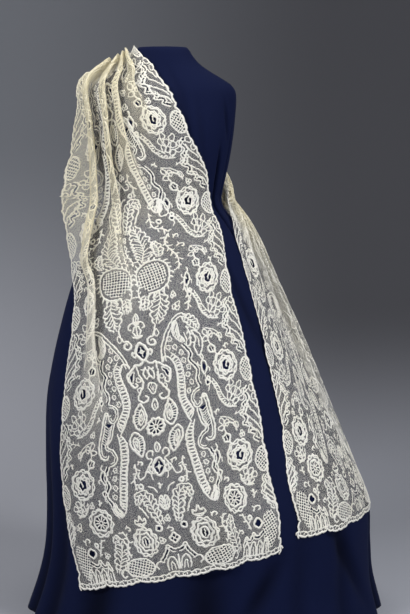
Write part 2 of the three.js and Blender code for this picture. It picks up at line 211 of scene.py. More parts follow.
# Area lights, turned in degrees
StageLight = namedtuple("StageLight", "name place turn size watts")
STAGE_LIGHTS = [
    StageLight("key", (2.6, -2.3, 2.9), (56, 0, 49), (1.2, 1.2), 100),
    StageLight("fill", (-2.6, -2.5, 2.6), (60, 0, -46), (1.4, 1.4), 92),
    StageLight("top", (0.2, -0.2, 3.6), (0, 0, 0), (2.0, 1.6), 34),
    StageLight("back", (0.7, 3.4, 2.5), (-61, 0, -12), (1.6, 1.6), 120),
]

# Sections of the dress form. spanned is how far cloth stands off a hollow that it bridges.
FormSection = namedtuple("FormSection", "height centre_x half_width half_depth spanned")
FORM_SECTIONS = [
    FormSection(0, 0, 460, 375, 0),
    FormSection(95, 4, 432, 360, 0),
    FormSection(174, 9, 421, 353, 0),
    FormSection(279, 8, 415, 347, 0),
    FormSection(400, -19, 389, 326, 0),
    FormSection(545, -54, 350, 298, 0),
    FormSection(644, -70, 318, 272, 0),
    FormSection(746, -82, 282, 244, 0),
    FormSection(836, -90, 248, 215, 0),
    FormSection(948, -96, 201, 169, 4),
    FormSection(998, -101, 175, 140, 9),
    FormSection(1044, -106, 149, 110, 15),
    FormSection(1089, -106, 154, 109, 10),
    FormSection(1144, -106, 166, 114, 3),
    FormSection(1197, -106, 175, 119, 0),
    FormSection(1250, -106, 181, 116, 2),
    FormSection(1315, -106, 184, 100, 7),
    FormSection(1337, -106, 174, 91, 9),
    FormSection(1352, -106, 153, 84, 10),
    FormSection(1371, -106, 121, 76, 10),
    FormSection(1389, -106, 95, 69, 10),
    FormSection(1406, -106, 79, 63, 9),
    FormSection(1424, -106, 68, 57, 7),
    FormSection(1450, -106, 61, 51, 5),
]

# Where the stole's two long edges lie, along its length from the front hem.
# Angles run round the form from its front, in degrees: -90 is the shoulder side, -180 the back.
HangingRow = namedtuple(
    "HangingRow", "along outer_angle outer_height outer_lift inner_angle inner_height")
HANGING_ROWS = [
    HangingRow(0, -46, 111, 0, 24, 224),
    HangingRow(175, -57, 270, 0, 27, 395),
    HangingRow(323, -60, 414, 0, 32, 536),
    HangingRow(475, -58, 565, 0, 36, 678),
    HangingRow(636, -60, 723, 0, 39, 829),
    HangingRow(752, -68, 828, 4, 43, 934),
    HangingRow(848, -85, 880, 16, 48, 1012),
    HangingRow(957, -90, 980, 72, 44, 1108),
    HangingRow(1029, -90, 1046, 98, 32, 1173),
    HangingRow(1097, -90, 1112, 86, 21, 1234),
    HangingRow(1161, -90, 1175, 64, 12, 1292),
    HangingRow(1230, -90, 1242, 42, 0, 1350),
    HangingRow(1292, -90, 1294, 26, -22, 1402),
    HangingRow(1369, -91, 1345, 30, -90, 1438),
    HangingRow(1479, -104, 1240, 10, -136, 1396),
    HangingRow(1599, -140, 1168, 4, -166, 1342),
    HangingRow(1719, -178, 1105, 0, -197, 1262),
    HangingRow(1824, -212, 1050, 0, -228, 1186),
    HangingRow(1919, -236, 1004, 0, -255, 1115),
    HangingRow(1999, -247, 960, 0, -276, 1052),
    HangingRow(2104, -251, 893, 0, -299, 973),
    HangingRow(2185, -252, 830, 0, -304, 900),
    HangingRow(2332, -253, 708, 0, -309, 765),
    HangingRow(2442, -252, 615, 0, -314, 664),
    HangingRow(2563, -251, 515, 0, -318, 552),
    HangingRow(2710, -250, 395, 0, -326, 414),
    HangingRow(2875, -249, 285, 0, -330, 252),
]

# Pleats and soft folds. place is across the flat width from its middle, towards the inner edge.
# turn is in radians: it grows from opens to full, stays, and dies away from eases to gone.
Fold = namedtuple("Fold", "place half turn opens full eases gone")
FOLDS = [
    Fold(-160, 65, 1.9, 330, 640, 2150, 2870),
    Fold(-15, 52, 1.9, 560, 1130, 2150, 2840),
    Fold(92, 42, 1.9, 880, 1250, 2000, 2480),
    Fold(182, 40, 1.9, 1060, 1330, 1960, 2330),
    Fold(118, 70, 0.5, -200, 0, 60, 330),
    Fold(150, 70, 0.6, 2480, 2800, 3000, 3100),
]

# Soft creases that the cloth takes between its folds: low ridges along the length, which drift across
Crease = namedtuple("Crease", "place drift half height starts ends")
CREASES = [
    Crease(-70, 18, 26, 2.4, 180, 720),
    Crease(30, -22, 30, 1.8, 300, 980),
    Crease(140, 26, 24, 2.6, 420, 1180),
    Crease(215, -14, 22, 2.2, 560, 1040),
    Crease(-225, 12, 28, 3.0, 40, 520),
    Crease(-120, 16, 22, 1.6, 30, 300),
    Crease(104, -14, 9, 7.0, -120, 330),
    Crease(225, -10, 26, 2.0, 2380, 2840),
    Crease(40, 14, 30, 2.4, 2300, 2800),
]


def column_at(table, key, column, x):
    """Smooth curve through one column of a table."""
    knots = np.array([getattr(row, key) for row in table], float)
    values = np.array([getattr(row, column) for row in table], float)
    before = np.maximum(np.arange(len(table)) - 1, 0)
    after = np.minimum(np.arange(len(table)) + 1, len(table) - 1)
    slopes = (values[after] - values[before]) / (knots[after] - knots[before])
    i = np.clip(np.searchsorted(knots, x) - 1, 0, len(table) - 2)
    width = knots[i + 1] - knots[i]
    t = (x - knots[i]) / width
    rise = values[i + 1] - values[i]
    leave = slopes[i] * width
    arrive = slopes[i + 1] * width
    bend = 3 * rise - 2 * leave - arrive
    return values[i] + t * leave + t * t * bend + t ** 3 * (leave + arrive - 2 * rise)


def smooth_step(x, low, high):
    t = np.clip((x - low) / (high - low), 0, 1)
    return t * t * (3 - 2 * t)


def form_point(angle, height, spanned_share=0.0):
    """Points of the form's surface, in millimetres."""
    off = spanned_share * column_at(FORM_SECTIONS, "height", "spanned", height)
    wide = column_at(FORM_SECTIONS, "height", "half_width", height) + off
    deep = column_at(FORM_SECTIONS, "height", "half_depth", height) + off
    middle = column_at(FORM_SECTIONS, "height", "centre_x", height)
    return np.stack([middle + wide * np.sin(angle), -deep * np.cos(angle), height + 0 * angle], -1)


def form_normal(angle, height):
    """Outward directions of the form, from small steps round it and up it."""
    turn, rise = 0.004, 0.5
    round_form = form_point(angle + turn, height, 1) - form_point(angle - turn, height, 1)
    upward = form_point(angle, height + rise, 1) - form_point(angle, height - rise, 1)
    return unit(np.cross(round_form, upward))


def unit(vectors):
    length = np.linalg.norm(vectors, axis=-1, keepdims=True)
    return vectors / np.maximum(length, 1e-12)


def lobe_notch(place, pitch, depth):
    """How far an edge of round lobes lies in from their tips."""
    return depth * (1 - np.sqrt(np.abs(np.sin(np.pi * place / pitch))))


def half_width_at(along):
    """Both long edges have a short trellised lobe and a long shell lobe by turns."""
    place = np.mod(np.minimum(along, STOLE_LENGTH - along) - FIRST_TRELLIS, EDGE_REPEAT)
    short = lobe_notch(place, TRELLIS_LOBE, LOBE_DEPTH)
    long = lobe_notch(place - TRELLIS_LOBE, SHELL_LOBE, LOBE_DEPTH)
    return HALF_WIDTH - np.where(place < TRELLIS_LOBE, short, long)


def fine_notch(place):
    """Small scallops along every edge of the lace."""
    return lobe_notch(place, FINE_SCALLOP, FINE_DEPTH)


def hem_notch_at(flat):
    return lobe_notch(flat + HALF_WIDTH, STOLE_WIDTH / HEM_LOBES, HEM_LOBE_DEPTH)


class Drape:
    """The stole's middle surface on a fine grid, so that any flat place can be looked up."""

    ALONG_STEP = 2.5
    ACROSS_STEP = 2.0
    MARGIN = 8.0
    LAST_CELL = 1.001

    def __init__(self):
        self.alongs = np.arange(-self.MARGIN, STOLE_LENGTH + self.MARGIN, self.ALONG_STEP)
        self.flats = np.arange(-HALF_WIDTH - self.MARGIN, HALF_WIDTH + self.MARGIN, self.ACROSS_STEP)
        self.points = self.surface()
        along_way = np.gradient(self.points, axis=0)
        across_way = np.gradient(self.points, axis=1)
        self.normals = unit(np.cross(across_way, along_way))

    def surface(self):
        """Folds turn the flat rows into slopes, and the hanging rows lay them on the form."""
        along = self.alongs[:, None]
        slope = np.zeros((len(self.alongs), len(self.flats)))
        self.gathers = np.zeros_like(slope)
        for fold in FOLDS:
            grown = smooth_step(along, fold.opens, fold.full)
            turn = fold.turn * grown * (1 - smooth_step(along, fold.eases, fold.gone))
            place = (self.flats - fold.place) / fold.half
            slope -= turn * np.where(np.abs(place) < 1, np.sin(np.pi * place), 0)
            if fold.turn > DEEP_TURN:
                ridge = np.clip(GATHER_TOP - GATHER_FALL * place ** 2, 0, 1)
                gather = (turn / fold.turn) ** GATHER_QUICKNESS * ridge
                gather = gather * (1 - SIDE_GATHER_LOSS * smooth_step(along, *SIDE_OPENS))
                self.gathers = np.maximum(self.gathers, gather)
        across = np.cumsum(np.cos(slope), 1) * self.ACROSS_STEP
        lift = FOLD_FLATNESS * np.cumsum(np.sin(slope), 1) * self.ACROSS_STEP
        first, last = np.flatnonzero(np.abs(self.flats) <= HALF_WIDTH)[[0, -1]]
        across -= across[:, first:first + 1]
        share = (across + FOLD_LEAN * lift) / across[:, last:last + 1]
        row = {name: column_at(HANGING_ROWS, "along", name, along)
               for name in HangingRow._fields[1:]}
        angle = np.radians(row["outer_angle"] * (1 - share) + row["inner_angle"] * share)
        height = row["outer_height"] * (1 - share) + row["inner_height"] * share
        free = np.maximum(0, 1 - share / LIFT_REACH)
        off = REST_OFF + row["outer_lift"] * free ** 2 + lift + self.crease_lift(along)
        return form_point(angle, height, 1) + form_normal(angle, height) * off[..., None]

    def crease_lift(self, along):
        """Ridges only, so that no crease sinks into the form."""
        lift = np.zeros((len(self.alongs), len(self.flats)))
        for crease in CREASES:
            middle = (crease.starts + crease.ends) / 2
            share = (along - middle) / (crease.ends - middle)
            fade = np.clip(1 - share ** 2, 0, 1) ** 1.5
            place = (self.flats - crease.place - crease.drift * share) / crease.half
            lift += crease.height * fade * np.exp(-2.0 * place ** 2)
        return lift

    def look_up(self, grid, along, flat):
        """Values of a grid at flat places, blended from the four grid points round each."""
        i = np.clip((along - self.alongs[0]) / self.ALONG_STEP, 0, len(self.alongs) - self.LAST_CELL)
        j = np.clip((flat - self.flats[0]) / self.ACROSS_STEP, 0, len(self.flats) - self.LAST_CELL)
        a, b = i.astype(int), j.astype(int)
        s, t = i - a, j - b
        if grid.ndim == 3:
            s, t = s[..., None], t[..., None]
        low = grid[a, b] * (1 - t) + grid[a, b + 1] * t
        high = grid[a + 1, b] * (1 - t) + grid[a + 1, b + 1] * t
        return low * (1 - s) + high * s

    def at(self, along, flat):
        return self.look_up(self.points, along, flat)

    def normal_at(self, along, flat):
        return unit(self.look_up(self.normals, along, flat))

    def gather_at(self, along, flat):
        """How closely the net is gathered: most in the pleats, some in the wing by the shoulder."""
        wing = WING_GATHER * smooth_step(along, *WING_STARTS) * smooth_step(-flat, *WING_EDGE)
        wing = wing * (1 - smooth_step(along, *WING_ENDS))
        return np.maximum(self.look_up(self.gathers, along, flat), wing)

    def warmth_at(self, along, flat):
        """Yellower cotton, partly from ageing of the doubled lace and partly painted warm light: most in
        the pleats by the shoulder.
        """
        faded = BACK_WARMTH_LOSS * smooth_step(along, *WARMTH_FADES)
        high = smooth_step(along, *WARMTH_GROWS) * (1 - faded)
        wing = smooth_step(along, *WARM_WING_STARTS) * smooth_step(-flat, *WARM_WING_EDGE)
        wing = wing * (1 - smooth_step(along, *WING_ENDS))
        gathered = (GATHER_WARMTH + HIGH_GATHER_WARMTH * high) * self.gather_at(along, flat)
        return np.clip(HIGH_WARMTH * high + WING_WARMTH * wing + gathered, 0, 1)


@lru_cache(maxsize=1)
def stole_drape():
    """The drape, worked out once for all the pieces that follow it."""
    return Drape()


# Drawing the flat lace: a stroke is a tape of some width along a line of points, each point
# given as across and along, in millimetres. A slit is a stroke where the net is left open:
# along its line, or all of its inside where it is closed.
Stroke = namedtuple("Stroke", "points width closed slit", defaults=(False, False))


def even_steps(points, step, closed=False):
    """The same line with its points at even steps."""
    points = np.asarray(points, float)
    if closed:
        points = np.vstack([points, points[:1]])
    lengths = np.linalg.norm(np.diff(points, axis=0), axis=1)
    run = np.concatenate([[0], np.cumsum(lengths)])
    count = max(int(round(run[-1] / step)), 6 if closed else 2)
    places = np.linspace(0, run[-1], count + 1)
    if closed:
        places = places[:-1]
    return np.stack([np.interp(places, run, points[:, k]) for k in (0, 1)], -1)


def spline(points, closed=False, per_span=10):
    """Smooth curve through a few given points."""
    points = np.asarray(points, float)
    count = len(points)
    spans = count if closed else count - 1
    t = np.linspace(0, 1, per_span, endpoint=False)[:, None]
    curve = []
    for i in range(spans):
        if closed:
            a, b, c, d = (points[(i + k) % count] for k in (-1, 0, 1, 2))
        else:
            a, b, c, d = (points[min(max(i + k, 0), count - 1)] for k in (-1, 0, 1, 2))
        curve.append(b + 0.5 * t * (c - a) + t ** 2 * (a - 2.5 * b + 2 * c - 0.5 * d)
                     + t ** 3 * (1.5 * (b - c) + 0.5 * (d - a)))
    if not closed:
        curve.append(points[-1:])
    return np.vstack(curve)


def ring(wide, high=None, lobes=0, depth=0.0, phase=0.0, count=64):
    """Closed oval with shallow lobes."""
    high = wide if high is None else high
    angle = np.linspace(0, 2 * np.pi, count, endpoint=False)
    swell = 1 + depth * np.cos(lobes * angle + phase)
    return np.stack([wide * swell * np.cos(angle), high * swell * np.sin(angle)], -1)


def spiral(radius, turns, start=0.0, inner=0.22, count=40):
    """Line that winds in from its radius to a share of it."""
    t = np.linspace(0, 1, count)
    angle = start + 2 * np.pi * turns * t
    reach = radius * (1 - (1 - inner) * t)
    return np.stack([reach * np.cos(angle), reach * np.sin(angle)], -1)


def leaf_line(length, width, bend=0.0, count=18):
    """Closed outline of a pointed leaf that grows up from its stalk."""
    t = np.linspace(0, 1, count)
    half = width / 2 * np.sin(np.pi * t ** 0.8) ** 0.9
    middle = bend * np.sin(np.pi * t / 2) ** 2
    right = np.stack([middle + half, length * t], -1)
    left = np.stack([middle - half, length * t], -1)
    return np.vstack([right, left[-2:0:-1]])


def diamond(wide, high, count=32):
    """Closed diamond with hollow sides."""
    angle = np.linspace(0, 2 * np.pi, count, endpoint=False)
    c, s = np.cos(angle), np.sin(angle)
    return np.stack([wide * np.sign(c) * np.abs(c) ** 1.35, high * np.sign(s) * np.abs(s) ** 1.35], -1)


def turned(points, degrees):
    c, s = math.cos(math.radians(degrees)), math.sin(math.radians(degrees))
    return np.asarray(points, float) @ np.array([[c, s], [-s, c]])


def moved(strokes, across=0.0, along=0.0, turn=0.0, size=1.0):
    """The strokes of a motif set in another place."""
    place = np.array([across, along])
    return [s._replace(points=turned(s.points * size, turn) + place) for s in strokes]


def offset_line(points, distance):
    """A line beside another, to its left by a distance that may change along it."""
    way = unit(np.gradient(points, axis=0))
    left = np.stack([-way[:, 1], way[:, 0]], -1)
    return points + left * np.reshape(distance, (-1, 1))


def inside(points, outline):
    """Which points lie inside a closed outline."""
    x, y = points[:, 0:1], points[:, 1:2]
    ax, ay = outline[:, 0], outline[:, 1]
    bx, by = np.roll(ax, -1), np.roll(ay, -1)
    crossing = (ay > y) != (by > y)
    rise = np.where(by == ay, 1e-9, by - ay)
    return (crossing & (x < (bx - ax) * (y - ay) / rise + ax)).sum(1) % 2 == 1


def line(points, width=TAPE):
    return Stroke(spline(points), width)


def loop(points, width=TAPE):
    return Stroke(spline(points, True), width, True)


def bar(first, second, width=THREAD):
    return Stroke(np.array([first, second], float), width)


def opened(outline):
    """A slit that takes all of an outline's inside."""
    return Stroke(np.asarray(outline, float), 0.0, True, True)


def bars_between(first, second, pitch, width):
    """Short bars from one line straight to the nearest place of another."""
    picks = even_steps(first, pitch)[1:-1]
    second = even_steps(second, DRAWING_STEP)
    nearest = np.linalg.norm(picks[:, None] - second, axis=2).argmin(1)
    return [bar(pick, end, width) for pick, end in zip(picks, second[nearest])]


def doubled(points, gap, width=TAPE, second=LIGHT, slit=True):
    """A bold line, a finer one to its left, or its right where gap is negative, and a slit between."""
    first = even_steps(spline(points), DOUBLED_STEP)
    strokes = [Stroke(first, width), Stroke(offset_line(first, gap)[1:-1], second)]
    between = Stroke(offset_line(first, 0.5 * gap)[1:-1], abs(gap) - SLIT_MARGIN, slit=True)
    return strokes + [between] if slit else strokes


def chain(first, second, pitch=9.0):
    """Uneven loops in a row, each reaching from one line to the other."""
    strokes = []
    for k, span in enumerate(bars_between(first, second, pitch, LIGHT)):
        middle = span.points.mean(0)
        way = span.points[1] - span.points[0]
        reach = 0.46 * math.hypot(*way)
        loop_line = ring(reach, 0.42 * pitch * LOOP_HEIGHTS[k % 3], 2, 0.1, k, 26)
        turn = math.degrees(math.atan2(way[1], way[0]))
        strokes += moved([Stroke(loop_line, 3.0, True)], *middle, turn)
    return strokes


def spokes(count, near, far, width, start=0.0):
    """Bars from near to far, repeated round a middle."""
    angles = [360 / count * k + start for k in range(count)]
    return [bar(turned(near, angle), turned(far, angle), width) for angle in angles]


def hatch(outline, spacing, degrees, width):
    """Straight threads across an outline, cut off where they leave it."""
    outline = turned(outline, -degrees)
    low, high = outline.min(0), outline.max(0)
    strokes = []
    for y in np.arange(low[1] + spacing / 2, high[1], spacing):
        x = np.arange(low[0], high[0], 1.0)
        row = np.stack([x, np.full_like(x, y)], -1)
        within = inside(row, outline)
        breaks = np.flatnonzero(np.diff(within.astype(int))) + 1
        for run in np.split(np.arange(len(x)), breaks):
            if len(run) > 4 and within[run[1]]:
                strokes.append(Stroke(turned(row[[run[0], run[-1]]], degrees), width))
    return strokes


def trellis(outline, spacing=7.0, degrees=45.0, width=2.5):
    """Open trellis of crossing threads that takes the place of the net."""
    threads = hatch(outline, spacing, degrees, width) + hatch(outline, spacing, degrees + 90, width)
    return threads + [opened(0.9 * outline + 0.1 * outline.mean(0))]


def solid(points):
    """Closely worked patch with a little ground between its threads."""
    outline = spline(points, True)
    return [Stroke(outline, LIGHT, True)] + hatch(outline, spacing=4.3, degrees=62, width=3.4)


def seeds(outline, pitch=8.5):
    """Small dots in rows over the ground inside an outline."""
    outline = np.asarray(outline, float)
    low, high = outline.min(0), outline.max(0)
    strokes = []
    for row, y in enumerate(np.arange(low[1], high[1], pitch * 0.87)):
        x = np.arange(low[0] + row % 2 * pitch / 2, high[0], pitch)
        spots = np.stack([x, np.full_like(x, y)], -1)
        kept = spots[inside(spots, outline)]
        strokes += [bar(spot - (1.2, 0), spot + (1.2, 0.6), 2.4) for spot in kept]
    return strokes


def flowers(*places):
    """Small diamond flowers with a dot in each."""
    strokes = []
    for place in places:
        strokes.append(Stroke(diamond(5.2, 6.4, 16) + place, 2.8, True))
        strokes.append(bar(np.array(place) - (1, 0), np.array(place) + (1, 0), 2.6))
    return strokes


def antler(points, width=TAPE, pitch=9.0, reach=9.0, sides=(1, -1)):
    """Budding branch: a line with short stubs, on its sides by turns."""
    spine = even_steps(spline(points), DRAWING_STEP)
    way = unit(np.gradient(spine, axis=0))
    strokes = [Stroke(spine, width)]
    for k, i in enumerate(range(3, len(spine) - 2, max(int(pitch / DRAWING_STEP), 1))):
        stub = turned(way[i], STUB_TURN * sides[k % len(sides)]) * reach * STUB_LENGTHS[k % 3]
        strokes.append(bar(spine[i], spine[i] + stub, 0.9 * width))
    return strokes


def cells(places, wide=6.0, high=8.0):
    """Cluster of small uneven loops, each turned its own way."""
    strokes = []
    for k, (x, y, turn) in enumerate(places):
        cell = ring(wide * (0.9 + 0.1 * (k % 3)), high * (1.1 - 0.1 * (k % 2)), 3, 0.12, k, 30)
        strokes += moved([Stroke(cell, LIGHT, True)], x, y, turn)
    return strokes


def plume(spine, breadth, pitch=13.0):
    """Scrolled leaf: a rib, an uneven lobed edge on each side and curved veins between them."""
    rib = even_steps(spline(spine), DRAWING_STEP)
    share = np.linspace(0, 1, len(rib))
    run = DRAWING_STEP * np.arange(len(rib))
    half = breadth * np.sin(np.pi * np.clip(0.06 + 0.9 * share, 0, 1)) ** 0.7
    strokes = [Stroke(rib, LIGHT)]
    for side, swing in ((1, 1.0), (-1, 1.22)):
        lobes = np.abs(np.sin(np.pi * run / (pitch * swing) + 0.7 * side)) ** 0.7
        edge = offset_line(rib, side * half * (0.58 + 0.42 * lobes))
        strokes.append(Stroke(edge, TAPE))
        for i in range(5, len(rib) - 8, int(pitch * swing / 2.1)):
            j = min(i + int(0.5 * half[i]), len(rib) - 1)
            end = rib[i] + 0.8 * (edge[j] - rib[i])
            strokes.append(line([rib[i], 0.5 * (rib[i] + end) + 0.12 * (rib[j] - rib[i]), end], 2.9))
    return strokes


def rose():
    """Full-blown rose: rumpled outer petals, an inner ring and an open heart with a seed."""
    strokes = [
        Stroke(ring(33.5, 36, 11, 0.05, 0.4, 150), PETAL, True),
        Stroke(ring(29.5, 32, 8, 0.07, 1.4, 120), INNER_PETAL, True),
        Stroke(ring(21, 22, 7, 0.1, 0.6, 80), PETAL, True),
        Stroke(ring(17, 18.5, 5, 0.1, 1.6, 66), INNER_PETAL, True),
        Stroke(ring(12.6, 14.6, 5, 0.09, 0.3), 4.6, True),
        line([(9.5, 11), (4.5, 7), (0.5, 0), (1.5, -6)], PETAL),
        opened(ring(10.6, 12.6, 5, 0.09, 0.3)),
    ]
    return strokes + spokes(5, (21, 0), (28, 3), LIGHT, 16)


def wheel_rose():
    """Rose whose heart is a ring of narrow slits."""
    strokes = [
        Stroke(ring(32, 33, 11, 0.06, 1.0, 140), PETAL, True),
        Stroke(ring(27.5, 28.5, 8, 0.08, 0.2, 110), INNER_PETAL, True),
        Stroke(ring(19.5, lobes=7, depth=0.06), 5.6, True),
        Stroke(ring(4.6, count=24), LIGHT, True),
        opened(ring(15.5)),
    ]
    return strokes + spokes(10, (5, 0), (17, 0), 3.4)


def oval_rose():
    """Hem rose with a long slit for its heart, and a crown over it."""
    crown = [(-12, 46), (-11, 58), (-5, 52), (0, 66), (5, 52), (11, 58), (12, 46)]
    return [
        Stroke(ring(27, 35, 11, 0.06, 0.2, 140), PETAL, True),
        Stroke(ring(23, 30, 8, 0.08, 1.1, 110), INNER_PETAL, True),
        Stroke(ring(15.5, 22, 6, 0.1, 0.5), 5.4, True),
        Stroke(ring(8.4, 13.0), PETAL, True),
        opened(ring(7.0, 11.0)),
        bar((0, -9), (1, 9), 3.0),
        loop(crown),
        line([(-10, 44), (0, 39), (10, 44)]),
    ]


def floret():
    """Small flower with an open heart."""
    petals = Stroke(ring(9.0, 10.0, 5, 0.12, 0.5), BOLD, True)
    return [petals, opened(ring(6.2, 7.0)), bar((0, -6), (0.6, 6), 2.8)]


def eyelet():
    """Small open ring."""
    return [Stroke(ring(6.9, count=28), BOLD, True), opened(ring(5.0, count=24))]


def quatrefoil():
    """Open ring of four lobes, crossed by two bars."""
    strokes = [Stroke(ring(10.4, lobes=4, depth=0.2), BOLD, True), opened(ring(8.6))]
    return strokes + [bar(turned((-7.5, 0), angle), turned((7.5, 0), angle), 2.4) for angle in (45, 135)]


def fanned(fan, radius, foot):
    """Places on the ribs of a fan, from each rib's turn and its share of the radius."""
    return [(*(turned((0, radius * reach), turn) + foot), turn) for turn, reach in fan]


def rose_spray():
    """Crescent leaf with a cluster of cells under a rose, and a budding branch below."""
    crescent = [(-53, -26), (-41, -50), (-34, -74), (-16, -98), (12, -106)]
    strokes = antler(crescent, TAPE, 8.0, 9.0, (1,))
    strokes.append(line([(-46, -22), (-33, -46), (-24, -70), (-8, -90)], LIGHT))
    fan = [(-10, 0.40), (-42, 0.36), (-76, 0.40), (-4, 0.74), (-28, 0.70), (-54, 0.72), (-80, 0.74),
           (-16, 1.0), (-42, 1.02), (-66, 1.0)]
    strokes += cells(fanned(fan, 54, (-10, -97)), 6.4, 8.6) + moved(eyelet(), -57, -20, size=0.7)
    return strokes + antler([(2, -124), (18, -120), (36, -114), (48, -98)], LIGHT, 8.0, 9.0)


def low_spray():
    """Short crescent and cells under the lowest rose."""
    fan = [(-14, 0.5), (-48, 0.5), (-80, 0.5), (-6, 0.95), (-34, 1.0), (-62, 1.0)]
    crescent = [(-18, 8), (-16, -8), (-4, -22), (16, -26)]
    return antler(crescent, TAPE, 8.0, 8.0, (1,)) + cells(fanned(fan, 30, (-6, -18)), 5.8, 7.6)


def bell_sprig():
    """Drooping bells on an arched stem over a rose's floret."""
    strokes = [line([(-29, 58), (-32, 74), (-20, 84), (-5, 75), (2, 58)])]
    for x, y, turn in ((-39, 98, 200), (-22, 92, 178), (-3, 80, 215), (-31, 75, 95)):
        strokes += moved([Stroke(leaf_line(18, 12), LIGHT, True)], x, y, turn)
    strokes.append(line([(-39, 102), (-20, 96), (-4, 85), (4, 66)], LIGHT))
    return strokes + [bar((-24, 40), (-18, 28), TAPE)]


def twig():
    """Upright branch with a bud at its tip."""
    bud = moved([Stroke(leaf_line(14, 9), LIGHT, True)], 1.5, 30)
    return antler([(0, -32), (4, -12), (-3, 10), (1.5, 30)], TAPE, 8.0, 10.0) + bud


def slit_leaf():
    """Pointed leaf with an open slit, on a stem with a ring."""
    bead = (1, -38)
    return [
        loop([(0, 18), (8, 2), (-3, -17), (-8, 0)]),
        opened(spline([(0, 11), (4, 1), (-2, -10), (-4, 0)], True)),
        line([(-3, -16), (-2, -24), (0, -31)], LIGHT),
        Stroke(ring(5.8, 7.0) + bead, TAPE, True),
        opened(ring(3.6, 4.8, count=20) + bead),
        line([(2, -44), (3, -52), (-2, -60)], LIGHT),
        line([(0, 17), (4, 24), (0, 32)]),
        line([(-7, 4), (-14, 8), (-13, 16)], LIGHT),
        line([(7, 0), (13, -6), (11, -14)], LIGHT),
    ]


def upper_paisley():
    """Tall paisley: double crest, worked leaf, ladder band, flowers and a rippled open edge."""
    outer = spline([(57, 159), (67, 141), (67, 117), (62, 81), (62, 51), (77, 9), (87, -9)])
    inner = spline([(66, 168), (81, 147), (84, 117), (79, 75), (79, 51), (95, 21)])
    crest = [(41, 147), (46, 177), (57, 201), (72, 225), (93, 249), (113, 255), (125, 242)]
    leaf = [(88, 236), (83, 214), (89, 197), (101, 185), (108, 190), (99, 205), (99, 224), (96, 240)]
    ground = [(60, 172), (82, 147), (88, 117), (83, 75), (84, 58), (104, 66), (102, 90), (108, 113),
              (96, 138), (102, 156), (92, 176), (80, 196), (78, 216)]
    strokes = doubled(crest, -8, slit=False)
    strokes.append(line([(41, 147), (44, 157), (52, 161), (60, 156)], BOLD))
    strokes += [Stroke(outer, TAPE), Stroke(inner, LIGHT)] + chain(outer, inner)
    strokes += doubled([(97, 180), (109, 156), (103, 138), (117, 113), (110, 90), (116, 70)], 7.5)
    strokes += solid(leaf)
    strokes += flowers((72, 200), (64, 180), (80, 178), (92, 162), (92, 142), (100, 124), (93, 106),
                       (98, 86), (88, 66))
    return strokes + seeds(ground)


def lower_paisley():
    """Paisley that hangs under the scroll and ends in a worked curl."""
    outer = spline([(87, -9), (72, -33), (71, -69), (77, -99), (82, -140), (90, -178), (100, -200),
                    (112, -206)])
    inner = spline([(95, -4), (89, -33), (88, -69), (93, -99), (99, -140), (105, -172)])
    ripple = [(119, -81), (130, -105), (122, -128), (132, -150), (122, -170), (118, -190), (106, -204)]
    ground = [(95, -80), (118, -90), (122, -110), (116, -128), (124, -150), (112, -166), (103, -140),
              (97, -99)]
    strokes = [Stroke(outer, TAPE), Stroke(inner, LIGHT)] + chain(outer[:-12], inner)
    strokes += doubled(ripple, 7.5)
    strokes += solid([(104, -192), (113, -184), (117, -170), (124, -178), (118, -198), (106, -204)])
    strokes += flowers((106, -92), (109, -112), (110, -134), (114, -156))
    return strokes + seeds(ground)


def crest_leaf():
    """Lobed leaf beside the paisley's crest, with a long drop under it."""
    drop = [(130, 208), (147, 198), (152, 173), (135, 144), (127, 166), (136, 187)]
    strokes = plume([(114, 247), (134, 232), (150, 206)], 14, 11.0)
    strokes += antler([(119, 222), (125, 200), (118, 172)])
    strokes += [loop(drop), line([(134, 196), (142, 186), (140, 164)], LIGHT)]
    strokes.append(line([(135, 146), (137, 138), (140, 131)]))
    stalk = even_steps(spline([(110, 208), (113, 190), (108, 176)]), DRAWING_STEP)
    return strokes + [Stroke(stalk, LIGHT)]


def hooked_scroll():
    """S-shaped scroll with hooks at both ends and an open chevron panel between them."""
    scroll = [(118, 41), (125, 51), (134, 33), (139, 3), (145, -27), (141, -57), (126, -64), (119, -54)]
    upper = [(116, 70), (97, 60), (92, 42), (102, 23), (115, 27), (118, 39), (112, 43)]
    lower = [(103, 21), (107, 4), (111, -14), (122, -33), (108, -43), (98, -61), (104, -77), (119, -81)]
    panel = [(110, 20), (128, 24), (134, -8), (138, -26), (128, -34), (118, -24), (112, 2)]
    strokes = doubled(scroll, -7, BOLD, slit=False) + doubled(upper, 6) + doubled(lower, 6)
    for y in np.arange(-26, 18, 5.6):
        x = 121 - 0.24 * y
        strokes.append(Stroke(np.array([(x - 10, y + 6), (x, y - 3), (x + 11, y + 6)]), 2.5))
    return strokes + [opened(panel)]


def wheel():
    """Wheel rosette with narrow slits between its spokes."""
    strokes = [
        Stroke(ring(20, lobes=10, depth=0.1, count=90), 6.4, True),
        Stroke(ring(5.0, count=24), TAPE, True),
        opened(ring(15.5)),
    ]
    return strokes + spokes(10, (6, 0), (17, 0), 3.2, 18)


def lozenge():
    """Lozenge with an open middle, crossed by a small diamond on bars."""
    strokes = [
        Stroke(diamond(14.5, 22), 6.6, True),
        Stroke(diamond(3.4, 5.0, 16), LIGHT, True),
        opened(diamond(10.5, 15)),
    ]
    for side in (-1, 1):
        strokes.append(line([(side * 14, -4), (side * 20, 2), (side * 24, -6), (side * 19, -10)]))
    return strokes + [bar((0, 0), end, 2.2) for end in ((9, 0), (-9, 0), (0, 13), (0, -13))]


